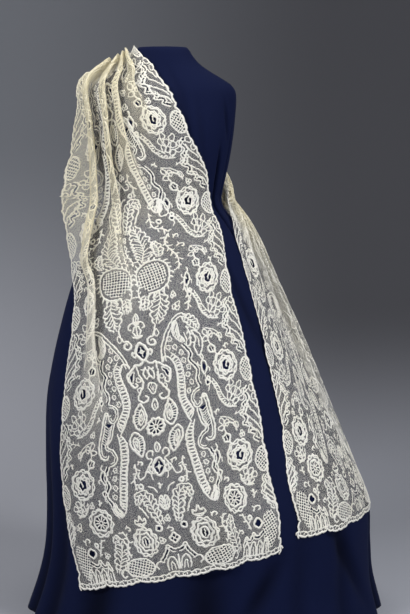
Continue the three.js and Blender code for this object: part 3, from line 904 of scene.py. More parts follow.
def pod():
    """Seed pod: an almond with a long open slit that short bars cross."""
    outer = leaf_line(64, 32, 5, 30) - (3, 32)
    inner = outer * (0.42, 0.62) + (-3, 0)
    core = outer * (0.14, 0.3) + (-3, -2)
    between = (0.5 * (outer + inner))[4:26]
    strokes = [Stroke(outer, BOLD, True), Stroke(inner, TAPE, True), Stroke(core, LIGHT, True)]
    strokes += bars_between(even_steps(outer[3:27], 3), inner, 7.0, 2.6)
    return strokes + [Stroke(between, 5.0, slit=True)]


def finial():
    """Three-leaved finial on a beaded bulb."""
    strokes = [
        Stroke(leaf_line(26, 13) + (0, 4), TAPE, True),
        bar((0, -30), (0, 24), TAPE),
        Stroke(ring(9.5, 11.5, 6, 0.12) + (0, -14), TAPE, True),
        line([(-13, -26), (0, -31), (13, -26)], BOLD),
    ]
    for side in (-1, 1):
        strokes.append(line([(0, -1), (side * 9, 8), (side * 18, 4), (side * 20, -6), (side * 13, -8)]))
    return strokes


def pelta_wing():
    """Half of the bracket between the lozenges: a winged scroll with an open corner."""
    wing = [(3, 160), (14, 152), (26, 153), (40, 141), (53, 131), (50, 112), (42, 99), (34, 104), (38, 111)]
    scroll = [(24, 130), (19, 108), (29, 90), (38, 74), (31, 61), (18, 62), (14, 72), (22, 76)]
    corner = [(34, 138), (48, 127), (45, 110), (39, 124)]
    strokes = [
        line(wing, BOLD),
        loop(corner, LIGHT),
        opened(spline(corner, True)),
        line(scroll, BOLD),
        line([(3, 146), (10, 138), (16, 142)]),
        line([(26, 153), (24, 142), (24, 130)]),
    ]
    strokes += moved([Stroke(leaf_line(26, 13), TAPE, True)], 4, 140, 190)
    return strokes + cells([(32, 92, 20), (29, 116, -20)], 4.6, 6.0)


def fan_drop():
    """Small open fan, a drop and a bead in the middle of the bracket."""
    fan = spline([(0, 106), (10, 97), (6, 84), (0, 77), (-6, 84), (-10, 97)], True)
    return [
        Stroke(fan, TAPE, True),
        opened(0.7 * fan + (0, 28)),
        bar((0, 104), (0, 82)),
        bar((-5, 99), (-2, 86)),
        bar((5, 99), (2, 86)),
        Stroke(leaf_line(28, 15) + (0, 37), TAPE, True),
        bar((0, 42), (0, 54), LIGHT),
        Stroke(leaf_line(24, 13) + (0, -64), TAPE, True),
        bar((0, -60), (0, -48), LIGHT),
    ]


def low_branches():
    """Curls and long tendrils beside the low lozenge."""
    curl = [(13, -72), (12, -62), (20, -58), (27, -66), (24, -76), (15, -80), (22, -92), (30, -104)]
    tail = [(30, -104), (38, -120), (48, -122), (52, -112), (46, -106)]
    strokes = [line(curl), line(tail)]
    strokes.append(line([(14, -104), (20, -118), (16, -130)], LIGHT))
    strokes.append(line([(30, -104), (22, -112), (10, -114)]))
    strokes += antler([(58, -84), (55, -104), (62, -122), (57, -148)], TAPE, 9.0, 9.0)
    strokes += moved(eyelet(), 48, -140, size=0.7)
    return strokes + seeds([(8, -84), (22, -84), (26, -100), (12, -100)], 6.5)


def crest_curl():
    """Round curl with a bead, and the tendril that leads up to the leaves."""
    strokes = [
        Stroke(spiral(12.5, 1.2, 1.2, 0.34) + (31, 203), BOLD),
        line([(36, 215), (42, 230), (46, 246)]),
        line([(20, 170), (15, 180), (22, 186), (26, 178)]),
    ]
    return strokes + moved([Stroke(leaf_line(19, 10), LIGHT, True)], 44, 214, -10)


def bouquet():
    """Curled plume over the rings by the hem."""
    strokes = plume([(20, 138), (29, 174), (38, 206), (55, 214), (64, 192)], 15)
    strokes += solid([(3, 206), (12, 196), (10, 182), (1, 172)])
    return strokes + [line([(63, 190), (54, 176), (46, 158)]), line([(12, 214), (20, 228), (32, 232)])]


def trellis_wing():
    """Trellis fan in a leafy frame, with scrolled leaves above, below and beside it."""
    patch = spline([(14, 358), (20, 384), (44, 402), (70, 404), (86, 380), (84, 350), (64, 332), (34, 328)],
                   True)
    rim = [(10, 344), (9, 370), (18, 392), (44, 410), (74, 410), (93, 386), (92, 348), (70, 325), (36, 321)]
    strokes = trellis(patch, 7.4, 8.0, 2.7) + antler(rim, BOLD, 12.0, 12.0, (1,))
    strokes += plume([(34, 412), (46, 438), (52, 468), (40, 528)], 25)
    strokes += plume([(64, 322), (64, 300), (58, 276), (50, 244)], 24)
    strokes += plume([(78, 420), (84, 446), (76, 474)], 13, 11.0)
    return strokes + plume([(30, 318), (24, 300), (26, 282)], 12, 11.0)


def side_twigs():
    """Budding branches between the panels and the roses."""
    strokes = antler([(84, 548), (88, 510), (108, 500), (122, 486)], TAPE, 9.0, 11.0)
    strokes += antler([(120, 484), (104, 462), (112, 432), (124, 400), (120, 366)], TAPE, 9.0, 12.0)
    strokes += antler([(134, 346), (130, 316), (138, 290), (132, 260)], TAPE, 9.0, 11.0)
    heart = [(112, 533), (134, 532), (136, 556), (119, 578), (92, 570), (88, 558), (104, 560), (116, 552)]
    strokes += [loop(heart), line([(116, 540), (124, 550), (118, 564)], LIGHT)]
    return strokes + moved(eyelet(), 106, 520, size=0.8)


def hem_arch():
    """Half of the open arched bracket over the hem's middle lobes, with nested loops under it."""
    strokes = doubled([(0, 76), (10, 78), (22, 88), (30, 70), (44, 52)], -7.5)
    strokes.append(line([(3, 24), (8, 50), (19, 58), (28, 44), (27, 24)]))
    strokes.append(line([(10, 24), (14, 42), (19, 44), (20, 24)], LIGHT))
    return strokes + [bar((0, 62), (0, 24), TAPE), line([(34, 46), (48, 50), (56, 40), (50, 30)])]


def hem_shell():
    """Trellised shell that lies along the hem."""
    patch = spline([(60, 42), (76, 60), (98, 64), (118, 60), (130, 42), (120, 24), (94, 20), (70, 24)],
                   True)
    curl = line([(128, 34), (138, 42), (148, 34), (142, 22), (133, 26)])
    return [Stroke(patch, TAPE, True), curl] + trellis(patch, 6.8, 22.0)


def hem_leaf():
    """Upright plume between the hem's shells and the wheel rose."""
    strokes = plume([(154, 34), (140, 66), (130, 98), (142, 128)], 19)
    return strokes + antler([(112, 68), (117, 92), (109, 112), (118, 136)], TAPE, 9.0, 10.0)


def corner_fan():
    """Trellised corner with an open square, and loops that spread to the hem."""
    patch = spline([(234, 106), (258, 112), (268, 84), (262, 48), (244, 22), (228, 40), (226, 72)], True)
    square = [Stroke(diamond(11.5, 11.5, 24), BOLD, True), opened(diamond(8.5, 8.5, 24))]
    strokes = trellis(patch, 6.8, 20.0)
    strokes += doubled([(168, 42), (178, 66), (187, 56), (198, 72), (208, 60), (224, 70)], -7)
    strokes += moved(square, 215, 90)
    for x in (176, 194, 212, 230):
        strokes.append(line([(x - 7, 12), (x - 5, 38), (x + 2, 50), (x + 8, 38), (x + 8, 12)]))
        strokes.append(bar((x + 1, 14), (x + 2, 38), LIGHT))
    strokes += antler([(194, 80), (186, 100), (178, 122)], TAPE, 9.0, 9.0)
    return strokes + moved(eyelet(), 196, 108, size=0.7)


# Where motifs lie on one end's right half: across from the middle, along from the hem.
# With 2 sides the left half mirrors them, the other end mirrors all, and copies follow step apart.
PANEL_STEP = 748.0
PANEL = 375.0
ROSE_ACROSS = 200
ROSE_ALONG = 258
Placing = namedtuple("Placing", "motif across along turn sides copies step", defaults=(0, 2, 1, 0))


def by_edge(motif, across, along, turn=0, copies=6):
    """A motif that comes once with each repeat of the edge."""
    return Placing(motif, across, along, turn, 2, copies, EDGE_REPEAT)


def in_panel(motif, across=0, along=0, turn=0, sides=2):
    """A motif of the tall panel, placed from its middle. The panel comes twice on each end."""
    return Placing(motif, across, PANEL + along, turn, sides, 2, PANEL_STEP)


PLACINGS = [
    by_edge(rose, ROSE_ACROSS, ROSE_ALONG),
    by_edge(floret, 171, 306, 20),
    by_edge(bell_sprig, ROSE_ACROSS, ROSE_ALONG),
    by_edge(rose_spray, ROSE_ACROSS, ROSE_ALONG + EDGE_REPEAT, copies=5),
    Placing(low_spray, 212, 206),
    by_edge(slit_leaf, 139, 268),
    in_panel(upper_paisley),
    in_panel(crest_leaf),
    in_panel(hooked_scroll),
    in_panel(lower_paisley),
    in_panel(finial, 0, 249, sides=1),
    in_panel(lozenge, 0, 183, sides=1),
    in_panel(crest_curl),
    in_panel(pelta_wing),
    in_panel(fan_drop, sides=1),
    in_panel(pod, 38, 27, 8),
    in_panel(wheel, 0, -3, sides=1),
    in_panel(pod, 45, -39, 170),
    in_panel(lozenge, 0, -99, sides=1),
    in_panel(low_branches),
    Placing(bouquet, 0, 0, copies=2, step=PANEL_STEP),
    Placing(trellis_wing, 0, PANEL),
    Placing(side_twigs, 0, PANEL),
    Placing(twig, 13, PANEL + 316),
    Placing(twig, 10, PANEL + 438),
    Placing(eyelet, 30, 130),
    Placing(quatrefoil, 0, 102, sides=1),
    Placing(oval_rose, 68, 102),
    Placing(wheel_rose, 167, 162),
    Placing(hem_arch, 0, 0),
    Placing(hem_shell, 0, 0),
    Placing(hem_leaf, 0, 0),
    Placing(corner_fan, 0, 0),
    Placing(oval_rose, 58, 1420),
]

# The tapes are split into pieces by how far along the stole they lie
STRETCHES = {
    "front": (0.0, PANEL_STEP),
    "shoulder": (PANEL_STEP, SHOULDER_CREST),
    "back": (SHOULDER_CREST, WAIST_TURN),
    "side": (WAIST_TURN, STOLE_LENGTH),
}


def both_ends(strokes):
    """The strokes of one end, and their mirror images at the other."""
    far = [s._replace(points=s.points * (1, -1) + (0, STOLE_LENGTH)) for s in strokes]
    return strokes + far


def drifted(points):
    """The pattern's middle lies a little to one side of the cloth's."""
    shift = CENTRE_DRIFT * (1 - (points[:, 0] / HALF_WIDTH) ** 2)
    return points + np.stack([shift, 0 * shift], -1)


def field_strokes():
    """Every motif of the field, on both halves and both ends, across and along the flat stole."""
    strokes = []
    for placing in PLACINGS:
        motif = moved(placing.motif(), turn=placing.turn)
        for copy in range(placing.copies):
            place = np.array([placing.across, placing.along + copy * placing.step])
            for side in (1, -1)[:placing.sides]:
                strokes += [s._replace(points=drifted((s.points + place) * (side, 1))) for s in motif]
    return both_ends(strokes)


def trellis_lobe():
    """Short lobe of the long border, as distance along and inward from the edge's middle there."""
    patch = spline([(-28, 8), (-23, 25), (0, 36), (23, 25), (28, 8), (0, 5)], True)
    return [Stroke(patch, LIGHT, True)] + trellis(patch, 6.4, 38.0)


def shell_lobe():
    """Long lobe of the border: an open zigzag, curved ribs under it and rings at the edge."""
    zigzag = [(-70, 14), (-56, 30), (-47, 25), (-38, 43), (-27, 36), (-16, 54), (-4, 45), (8, 57), (18, 43),
              (31, 48), (42, 31), (60, 36), (72, 20)]
    ribs = [
        [(-62, 7), (-44, 14), (-32, 28), (-16, 40), (0, 34)],
        [(-42, 7), (-24, 15), (-8, 30), (8, 42), (22, 32)],
        [(-16, 7), (0, 14), (14, 26), (34, 34)],
        [(10, 7), (22, 12), (34, 20), (54, 24)],
    ]
    rings = [ring(8.5, 6.5) + (62, 11), ring(8, 6) + (40, 9)]
    strokes = doubled(zigzag, -7.5) + [line(rib) for rib in ribs]
    return strokes + [Stroke(outline, LIGHT, True) for outline in rings]


def on_edge(strokes, middle, side):
    """Strokes given along and inward, bent to the scalloped edge."""
    bent = []
    for stroke in strokes:
        points = even_steps(stroke.points, EDGE_STEP, stroke.closed)
        along = np.clip(middle + points[:, 0], 0, STOLE_LENGTH)
        across = side * (half_width_at(along) - points[:, 1])
        bent.append(stroke._replace(points=np.stack([across, along], -1)))
    return bent


def border_strokes():
    """The two long borders with their edge cord, then the two hems."""
    strokes = []
    for side in (1, -1):
        for start in np.arange(FIRST_TRELLIS, STOLE_LENGTH / 2, EDGE_REPEAT):
            strokes += on_edge(trellis_lobe(), start + TRELLIS_LOBE / 2, side)
            middle = start - SHELL_LOBE / 2
            if middle > SHELL_LOBE:
                strokes += on_edge(shell_lobe(), middle, side)
        strokes += on_edge(moved(shell_lobe(), size=CORNER_SHELL), CORNER_SHELL_ALONG, side)
        run = np.arange(0, STOLE_LENGTH / 2, CORD_STEP)
        cord = np.stack([run, CORD_INSET + fine_notch(run)], -1)
        strokes += on_edge([Stroke(cord, EDGE_CORD)], 0, side)
    flat = np.arange(-HALF_WIDTH + 2, HALF_WIDTH - 1, CORD_STEP)
    for inward, sway, width in ((CORD_INSET, 1.0, EDGE_CORD), (HEM_LINE, -1.0, LIGHT)):
        along = hem_notch_at(flat) + inward + sway * fine_notch(flat)
        strokes.append(Stroke(np.stack([flat, along], -1), width))
    for x in np.arange(-HALF_WIDTH + FINE_SCALLOP / 2, HALF_WIDTH, FINE_SCALLOP):
        arch = np.array([(x - 6, 5), (x - 4, 12), (x + 4, 12), (x + 6, 5)]) + (0, hem_notch_at(x))
        strokes.append(line(arch, 2.8))
    return both_ends(strokes)


def sprig(kind):
    """Small motif for a bare place."""
    if kind == 0:
        return antler([(0, -11), (2, 0), (-1, 11)], TAPE, 7.0, 8.0)
    if kind == 1:
        return cells([(-5, -3, 30), (5, -2, -30), (0, 7, 0)], 4.4, 5.6)
    return [line([(-10, -6), (-4, 4), (5, 5), (8, -2), (2, -5)]), bar((-6, 2), (-10, 9), LIGHT)]


def sprig_strokes(strokes):
    """Sprigs in the bare places that the motifs of one end leave, the widest places first."""
    size = (int(STOLE_LENGTH / SPRIG_GRAIN) + 2, int(STOLE_WIDTH / SPRIG_GRAIN) + 2)
    taken = np.zeros(size, bool)
    for stroke in strokes:
        points = even_steps(stroke.points, SPRIG_STEP, stroke.closed) + (HALF_WIDTH, 0)
        column, row = (points / SPRIG_GRAIN).astype(int).T
        taken[row, column] = True
    chance = np.random.default_rng(SPRIG_SEED)
    found = []
    for clear, scale in SPRIG_PASSES:
        for i in range(clear, int(STOLE_LENGTH / 2 / SPRIG_GRAIN)):
            for j in range(SPRIG_MARGIN, size[1] - SPRIG_MARGIN):
                around = taken[i - clear:i + clear + 1, j - clear:j + clear + 1]
                if not around.any():
                    around[:] = True
                    small = sprig(int(chance.integers(3)))
                    turn = chance.uniform(-SPRIG_TURN, SPRIG_TURN)
                    found += moved(small, j * SPRIG_GRAIN - HALF_WIDTH, i * SPRIG_GRAIN, turn, scale)
    return both_ends(found)


def strokes_between(strokes, low, high):
    """The worked tapes of one stretch. A long cord is cut at the stretch's ends."""
    chosen = []
    for stroke in strokes:
        if stroke.slit:
            continue
        within = (stroke.points[:, 1] >= low) & (stroke.points[:, 1] < high)
        if np.ptp(stroke.points[:, 1]) > LONG_CORD:
            chosen += [stroke._replace(points=stroke.points[within])] if within.sum() > 2 else []
        elif low <= stroke.points[:, 1].mean() < high:
            chosen.append(stroke)
    return chosen


def ribbons(strokes, drape, half_height, step):
    """Uneven hand-worked tapes with a lens-shaped section, laid along the drape."""
    chance = np.random.default_rng(TAPE_SEED)
    vertices, faces, warmth = [], [], []
    count = 0
    for stroke in strokes:
        length = min(step, max(FINEST_STEP, STEP_FOR_WIDTH * stroke.width))
        points = even_steps(stroke.points, length, stroke.closed)
        sides = len(points)
        if stroke.closed:
            way = unit(np.roll(points, -1, 0) - np.roll(points, 1, 0))
        else:
            way = unit(np.gradient(points, axis=0))
        left = np.stack([-way[:, 1], way[:, 0]], -1)
        wobble = TAPE_WOBBLE * chance.standard_normal((sides, 1))
        points = points + left * wobble.clip(-WOBBLE_LIMIT, WOBBLE_LIMIT)
        half = stroke.width / 2 * chance.uniform(*TAPE_SWELL, (sides, 1))
        if not stroke.closed:
            half[[0, -1]] *= TAPE_END
        rise = half_height * chance.uniform(*TAPE_RISE) * min(1.0, stroke.width / FULL_RISE_WIDTH)
        flat, along = points.T
        middle = drape.at(along, flat)
        up = drape.normal_at(along, flat) * rise
        edges = [drape.at(edge[:, 1], edge[:, 0]) for edge in (points + left * half, points - left * half)]
        rows = np.stack([edges[0], middle + up, edges[1], middle - up], 1)
        vertices.append(rows.reshape(-1, 3) * MM)
        # Warmth: partly ageing, partly painted warm light
        warmth.append(np.repeat(TAPE_WARMTH * drape.warmth_at(along, flat), 4))
        here = np.arange(sides if stroke.closed else sides - 1)
        after = (here + 1) % sides
        for k in range(4):
            n = (k + 1) % 4
            faces.append(count + np.stack([4 * here + k, 4 * here + n, 4 * after + n, 4 * after + k], -1))
        if not stroke.closed:
            last = 4 * (sides - 1)
            faces.append(count + np.array([[3, 2, 1, 0], [last, last + 1, last + 2, last + 3]]))
        count += 4 * sides
    return np.vstack(vertices), np.vstack(faces), np.concatenate(warmth)


def openness(slits, flats):
    """How far each flat place lies from the nearest slit, less than nothing inside one."""
    away = np.full(len(flats), SLIT_REACH)
    for slit in slits:
        low, high = slit.points.min(0) - SLIT_REACH, slit.points.max(0) + SLIT_REACH
        near = np.flatnonzero(((flats > low) & (flats < high)).all(1))
        if len(near) == 0:
            continue
        path = even_steps(slit.points, DRAWING_STEP, slit.closed)
        distance = np.linalg.norm(flats[near][:, None] - path, axis=2).min(1)
        if slit.closed:
            distance *= np.where(inside(flats[near], slit.points), -1, 1)
        away[near] = np.minimum(away[near], distance - slit.width / 2)
    return away


def mesh_object(name, vertices, faces, material):
    """A mesh made whole from arrays, for cloth and its many small tapes."""
    mesh = bpy.data.meshes.new(name)
    mesh.from_pydata(vertices.tolist(), [], faces.tolist())
    mesh.materials.append(material)
    mesh.polygons.foreach_set("use_smooth", np.ones(len(mesh.polygons), bool))
    mesh.update()
    piece = bpy.data.objects.new(name, mesh)
    bpy.context.scene.collection.objects.link(piece)
    return piece


def point_values(piece, name, values):
    attribute = piece.data.attributes.new(name, "FLOAT", "POINT")
    attribute.data.foreach_set("value", np.asarray(values, np.float32))


# Materials
def new_material(name):
    """An empty material, its node tree and its Principled shader."""
    material = bpy.data.materials.new(name)
    material.use_nodes = True
    tree = material.node_tree
    return material, tree, tree.nodes["Principled BSDF"]


def new_group(name, inputs, outputs):
    """An empty shader node group with named sockets."""
    group = bpy.data.node_groups.new(name, "ShaderNodeTree")
    for label, kind in inputs:
        group.interface.new_socket(name=label, in_out="INPUT", socket_type=kind)
    for label, kind in outputs:
        group.interface.new_socket(name=label, in_out="OUTPUT", socket_type=kind)
    return group, group.nodes.new("NodeGroupInput"), group.nodes.new("NodeGroupOutput")


def use_group(tree, group):
    node = tree.nodes.new("ShaderNodeGroup")
    node.node_tree = group
    return node


def feed(tree, socket, value):
    """Sets a socket to a plain value, or links another socket to it."""
    if isinstance(value, bpy.types.NodeSocket):
        tree.links.new(value, socket)
    else:
        socket.default_value = value


def math_node(tree, operation, *values):
    node = tree.nodes.new("ShaderNodeMath")
    node.operation = operation
    for socket, value in zip(node.inputs, values):
        feed(tree, socket, value)
    return node.outputs[0]


def mix_colours(tree, share, first, second):
    node = tree.nodes.new("ShaderNodeMix")
    node.data_type = "RGBA"
    for socket, value in zip((node.inputs[0], node.inputs[6], node.inputs[7]), (share, first, second)):
        feed(tree, socket, value)
    return node.outputs[2]


def noise_node(tree, vector, scale, detail=2.0):
    node = tree.nodes.new("ShaderNodeTexNoise")
    node.inputs["Scale"].default_value = scale
    node.inputs["Detail"].default_value = detail
    tree.links.new(vector, node.inputs["Vector"])
    return node.outputs["Fac"]


def soft_range(tree, value, low, high):
    """A share that grows smoothly from low to high."""
    node = tree.nodes.new("ShaderNodeMapRange")
    node.interpolation_type = "SMOOTHSTEP"
    node.inputs["From Min"].default_value = low
    node.inputs["From Max"].default_value = high
    tree.links.new(value, node.inputs["Value"])
    return node.outputs[0]


def object_place(tree):
    return tree.nodes.new("ShaderNodeTexCoord").outputs["Object"]


def point_share(tree, name):
    """A value that the mesh holds at its points."""
    node = tree.nodes.new("ShaderNodeAttribute")
    node.attribute_name = name
    return node.outputs["Fac"]


def set_finish(surface, roughness, specular, sheen=0.0):
    surface.inputs["Roughness"].default_value = roughness
    surface.inputs["Specular IOR Level"].default_value = specular
    surface.inputs["Sheen Weight"].default_value = sheen


def set_bump(tree, surface, height, strength, distance):
    bump = tree.nodes.new("ShaderNodeBump")
    bump.inputs["Strength"].default_value = strength
    bump.inputs["Distance"].default_value = distance
    tree.links.new(height, bump.inputs["Height"])
    tree.links.new(bump.outputs["Normal"], surface.inputs["Normal"])


def shade(colour, share):
    """A darker colour, with its alpha."""
    return (*[share * part for part in colour], 1)


def cotton_group():
    """Cream cotton colour: yellower where warm, partly from ageing and partly as painted warm light, with
    slight uneven ageing.
    """
    if "cotton_colour" in bpy.data.node_groups:
        return bpy.data.node_groups["cotton_colour"]
    group, given, result = new_group(
        "cotton_colour",
        [("Position", "NodeSocketVector"), ("Warmth", "NodeSocketFloat"),
         ("Cream", "NodeSocketColor"), ("Aged", "NodeSocketColor")],
        [("Colour", "NodeSocketColor"), ("Thread", "NodeSocketFloat")])
    patches = noise_node(group, given.outputs["Position"], COTTON_PATCHES)
    thread = noise_node(group, given.outputs["Position"], COTTON_FIBRES)
    uneven = math_node(group, "MULTIPLY_ADD", patches, *COTTON_AGEING)
    share = math_node(group, "ADD", uneven, given.outputs["Warmth"])
    share = math_node(group, "MINIMUM", math_node(group, "MAXIMUM", share, 0.0), 1.0)
    colour = mix_colours(group, share, given.outputs["Cream"], given.outputs["Aged"])
    fibres = math_node(group, "MULTIPLY", thread, FIBRE_SHARE)
    dark = mix_colours(group, fibres, colour, FIBRE_SHADE)
    group.links.new(dark, result.inputs["Colour"])
    group.links.new(thread, result.inputs["Thread"])
    return group


def net_group():
    """Mask of a fine net of three crossing sets of threads, from flat coordinates in millimetres."""
    group, given, result = new_group(
        "net_mask",
        [("Flat", "NodeSocketVector"), ("Pitch", "NodeSocketFloat"), ("Thread", "NodeSocketFloat")],
        [("Mask", "NodeSocketFloat")])
    split = group.nodes.new("ShaderNodeSeparateXYZ")
    group.links.new(given.outputs["Flat"], split.inputs[0])
    half_pitch = math_node(group, "MULTIPLY", given.outputs["Pitch"], 0.5)
    half_thread = math_node(group, "MULTIPLY", given.outputs["Thread"], 0.5)
    mask = None
    for degrees in NET_TURNS:
        c, s = math.cos(math.radians(degrees)), math.sin(math.radians(degrees))
        across = math_node(group, "MULTIPLY", split.outputs["X"], c)
        place = math_node(group, "MULTIPLY_ADD", split.outputs["Y"], s, across)
        place = math_node(group, "PINGPONG", place, half_pitch)
        thread = math_node(group, "LESS_THAN", place, half_thread)
        mask = thread if mask is None else math_node(group, "MAXIMUM", mask, thread)
    group.links.new(mask, result.inputs["Mask"])
    return group


def net_threads(tree, settings):
    """Where the net has thread: more where it is gathered, and none in the slits."""
    flat = tree.nodes.new("ShaderNodeUVMap")
    flat.uv_map = "flat"
    scaled = tree.nodes.new("ShaderNodeVectorMath")
    scaled.operation = "SCALE"
    feed(tree, scaled.inputs["Scale"], FLAT_UV_SPAN)
    feed(tree, scaled.inputs[0], flat.outputs["UV"])
    net = use_group(tree, net_group())
    thread = settings.net_thread / MM
    width = math_node(tree, "MULTIPLY_ADD", point_share(tree, "gather"), GATHERED_THREAD * thread, thread)
    feed(tree, net.inputs["Flat"], scaled.outputs[0])
    feed(tree, net.inputs["Pitch"], settings.net_pitch / MM)
    feed(tree, net.inputs["Thread"], width)
    present = math_node(tree, "GREATER_THAN", point_share(tree, "from_slit"), SLIT_EDGE)
    return math_node(tree, "MULTIPLY", net.outputs["Mask"], present)


def lace_material(settings, netted):
    """Cream cotton, as raised tape or as net that is open between its threads."""
    material, tree, surface = new_material("lace_net" if netted else "lace_tape")
    cotton = use_group(tree, cotton_group())
    feed(tree, cotton.inputs["Position"], object_place(tree))
    # Warmth: partly ageing, partly painted warm light
    feed(tree, cotton.inputs["Warmth"], point_share(tree, "warmth"))
    feed(tree, cotton.inputs["Cream"], (*settings.cream, 1))
    feed(tree, cotton.inputs["Aged"], (*settings.aged_and_warm_lit, 1))
    feed(tree, surface.inputs["Base Color"], cotton.outputs["Colour"])
    set_finish(surface, roughness=0.88, specular=0.2, sheen=0.15)
    if netted:
        feed(tree, surface.inputs["Alpha"], net_threads(tree, settings))
    else:
        set_bump(tree, surface, cotton.outputs["Thread"], strength=0.35, distance=0.0004)
    return material


def cover_material(settings):
    """Navy plain weave, faded in patches, with painted shade that darkens its troughs."""
    material, tree, surface = new_material("form_cover")
    place = object_place(tree)
    weave = noise_node(tree, place, COVER_WEAVE, detail=3.0)
    cloud = noise_node(tree, place, COVER_CLOUDS, detail=4.0)
    colour = mix_colours(tree, cloud, (*settings.navy, 1), (*settings.navy_worn, 1))
    # Painted shade: the navy darkens with the depth of the cover's troughs
    colour = mix_colours(tree, point_share(tree, "trough"), colour, shade(settings.navy, PAINTED_TROUGH_SHADE))
    grain = math_node(tree, "MULTIPLY", weave, WEAVE_SHARE)
    colour = mix_colours(tree, grain, colour, shade(settings.navy, WEAVE_SHADE))
    feed(tree, surface.inputs["Base Color"], colour)
    set_finish(surface, roughness=0.82, specular=0.07, sheen=0.03)
    surface.inputs["Sheen Tint"].default_value = COVER_SHEEN
    set_bump(tree, surface, weave, strength=0.3, distance=0.0006)
    return material


# The form's cover sinks in troughs between its folds. angle and half are in degrees, and lean is how
# far a trough turns round the form from low to high. A trough that starts at the floor is deepest there.
CoverFold = namedtuple("CoverFold", "angle half depth low high lean")
COVER_FOLDS = [
    CoverFold(50, 5, 8, 0, 560, 4),
    CoverFold(40, 4, 9, 380, 820, 14),
    CoverFold(50, 4, 8, 620, 960, -10),
    CoverFold(68, 5, 14, 20, 330, -26),
    CoverFold(82, 8, 24, 0, 640, 3),
    CoverFold(112, 9, 20, 0, 700, -2),
    CoverFold(140, 9, 16, 0, 620, 2),
    CoverFold(168, 8, 16, 0, 680, -3),
    CoverFold(196, 9, 18, 0, 640, 3),
    CoverFold(222, 8, 15, 0, 700, -2),
    CoverFold(252, 9, 18, 0, 620, 2),
    CoverFold(281, 8, 20, 0, 660, 3),
    CoverFold(300, 7, 15, 0, 560, -2),
    CoverFold(321, 9, 20, 0, 400, 2),
    CoverFold(0, 9, 20, 0, 380, -2),
    CoverFold(30, 5, 7, 0, 460, 5),
    CoverFold(10, 5, 14, 10, 240, 16),
    CoverFold(64, 2.4, 24, 930, 1212, -8),
    CoverFold(78, 2.4, 12, 960, 1260, -4),
    CoverFold(70, 3.0, 7, 1180, 1310, -14),
    CoverFold(31, 6, 5, 1120, 1405, -25),
    CoverFold(44, 5, 3, 1080, 1340, -18),
    CoverFold(-30, 3, 2, 1060, 1220, 10),
    CoverFold(150, 4, 2.5, 1070, 1280, 8),
    CoverFold(205, 4, 2.5, 1070, 1280, -8),
]


def sunk(angle, height):
    """How far the cover sinks at a place, in millimetres."""
    depth = 0 * angle
    for fold in COVER_FOLDS:
        share = np.clip((height - fold.low) / (fold.high - fold.low), 0, 1)
        fade = np.where(fold.low > 0, np.sin(np.pi * share), np.cos(np.pi / 2 * share)) ** 1.5
        fade = np.where((height < fold.low) | (height > fold.high), 0, fade)
        place = (angle - fold.angle - fold.lean * share + 180) % 360 - 180
        depth = depth + fold.depth * fade * np.exp(-2 * (place / fold.half) ** 2)
    return depth


def new_grid(name, columns, rows):
    """A flat grid to be shaped, and its vertices' places as shares of its sides."""
    bpy.ops.object.select_all(action="DESELECT")
    bpy.ops.mesh.primitive_grid_add(x_subdivisions=columns, y_subdivisions=rows, size=1)
    piece = bpy.context.object
    piece.name = name
    piece.data.name = name
    places = np.empty(len(piece.data.vertices) * 3)
    piece.data.vertices.foreach_get("co", places)
    shares = places.reshape(-1, 3) + 0.5
    return piece, shares[:, 0], shares[:, 1]


def cover_piece(name, material):
    """The form's whole cover: a grid rolled round the form and closed at both ends."""
    piece, around, upward = new_grid(name, COVER_AROUND, COVER_UPWARD)
    mesh = piece.data
    angle = around * 360 - 180
    row = np.rint(upward * COVER_UPWARD)
    height = FORM_HEIGHT * np.clip((row - 1) / (COVER_UPWARD - 2), 0, 1)
    depth = sunk(angle, height)
    rounding = ((height - FORM_HEIGHT + NECK_ROUNDING) / NECK_ROUNDING).clip(0, 1)
    inward = depth + NECK_ROUNDING * (1 - np.sqrt(1 - rounding ** 2))
    outward = form_normal(np.radians(angle), height)
    outward[:, 2] = 0
    points = form_point(np.radians(angle), height) - unit(outward) * inward[:, None]
    ends = (row == 0) | (row == COVER_UPWARD)
    middle = np.stack([column_at(FORM_SECTIONS, "height", "centre_x", height), 0 * height, height], -1)
    points[ends] = middle[ends]
    mesh.vertices.foreach_set("co", (points * MM).ravel())
    # Painted shade mask: how deep each place lies in a trough
    point_values(piece, "trough", (depth / TROUGH_DEPTH_FOR_FULL_SHADE).clip(0, 1))
    bpy.ops.object.mode_set(mode="EDIT")
    bpy.ops.mesh.select_all(action="SELECT")
    bpy.ops.mesh.remove_doubles(threshold=MERGE_GAP)
    bpy.ops.mesh.normals_make_consistent(inside=False)
    bpy.ops.object.mode_set(mode="OBJECT")
    bpy.ops.object.shade_smooth()
    mesh.materials.append(material)
    return piece


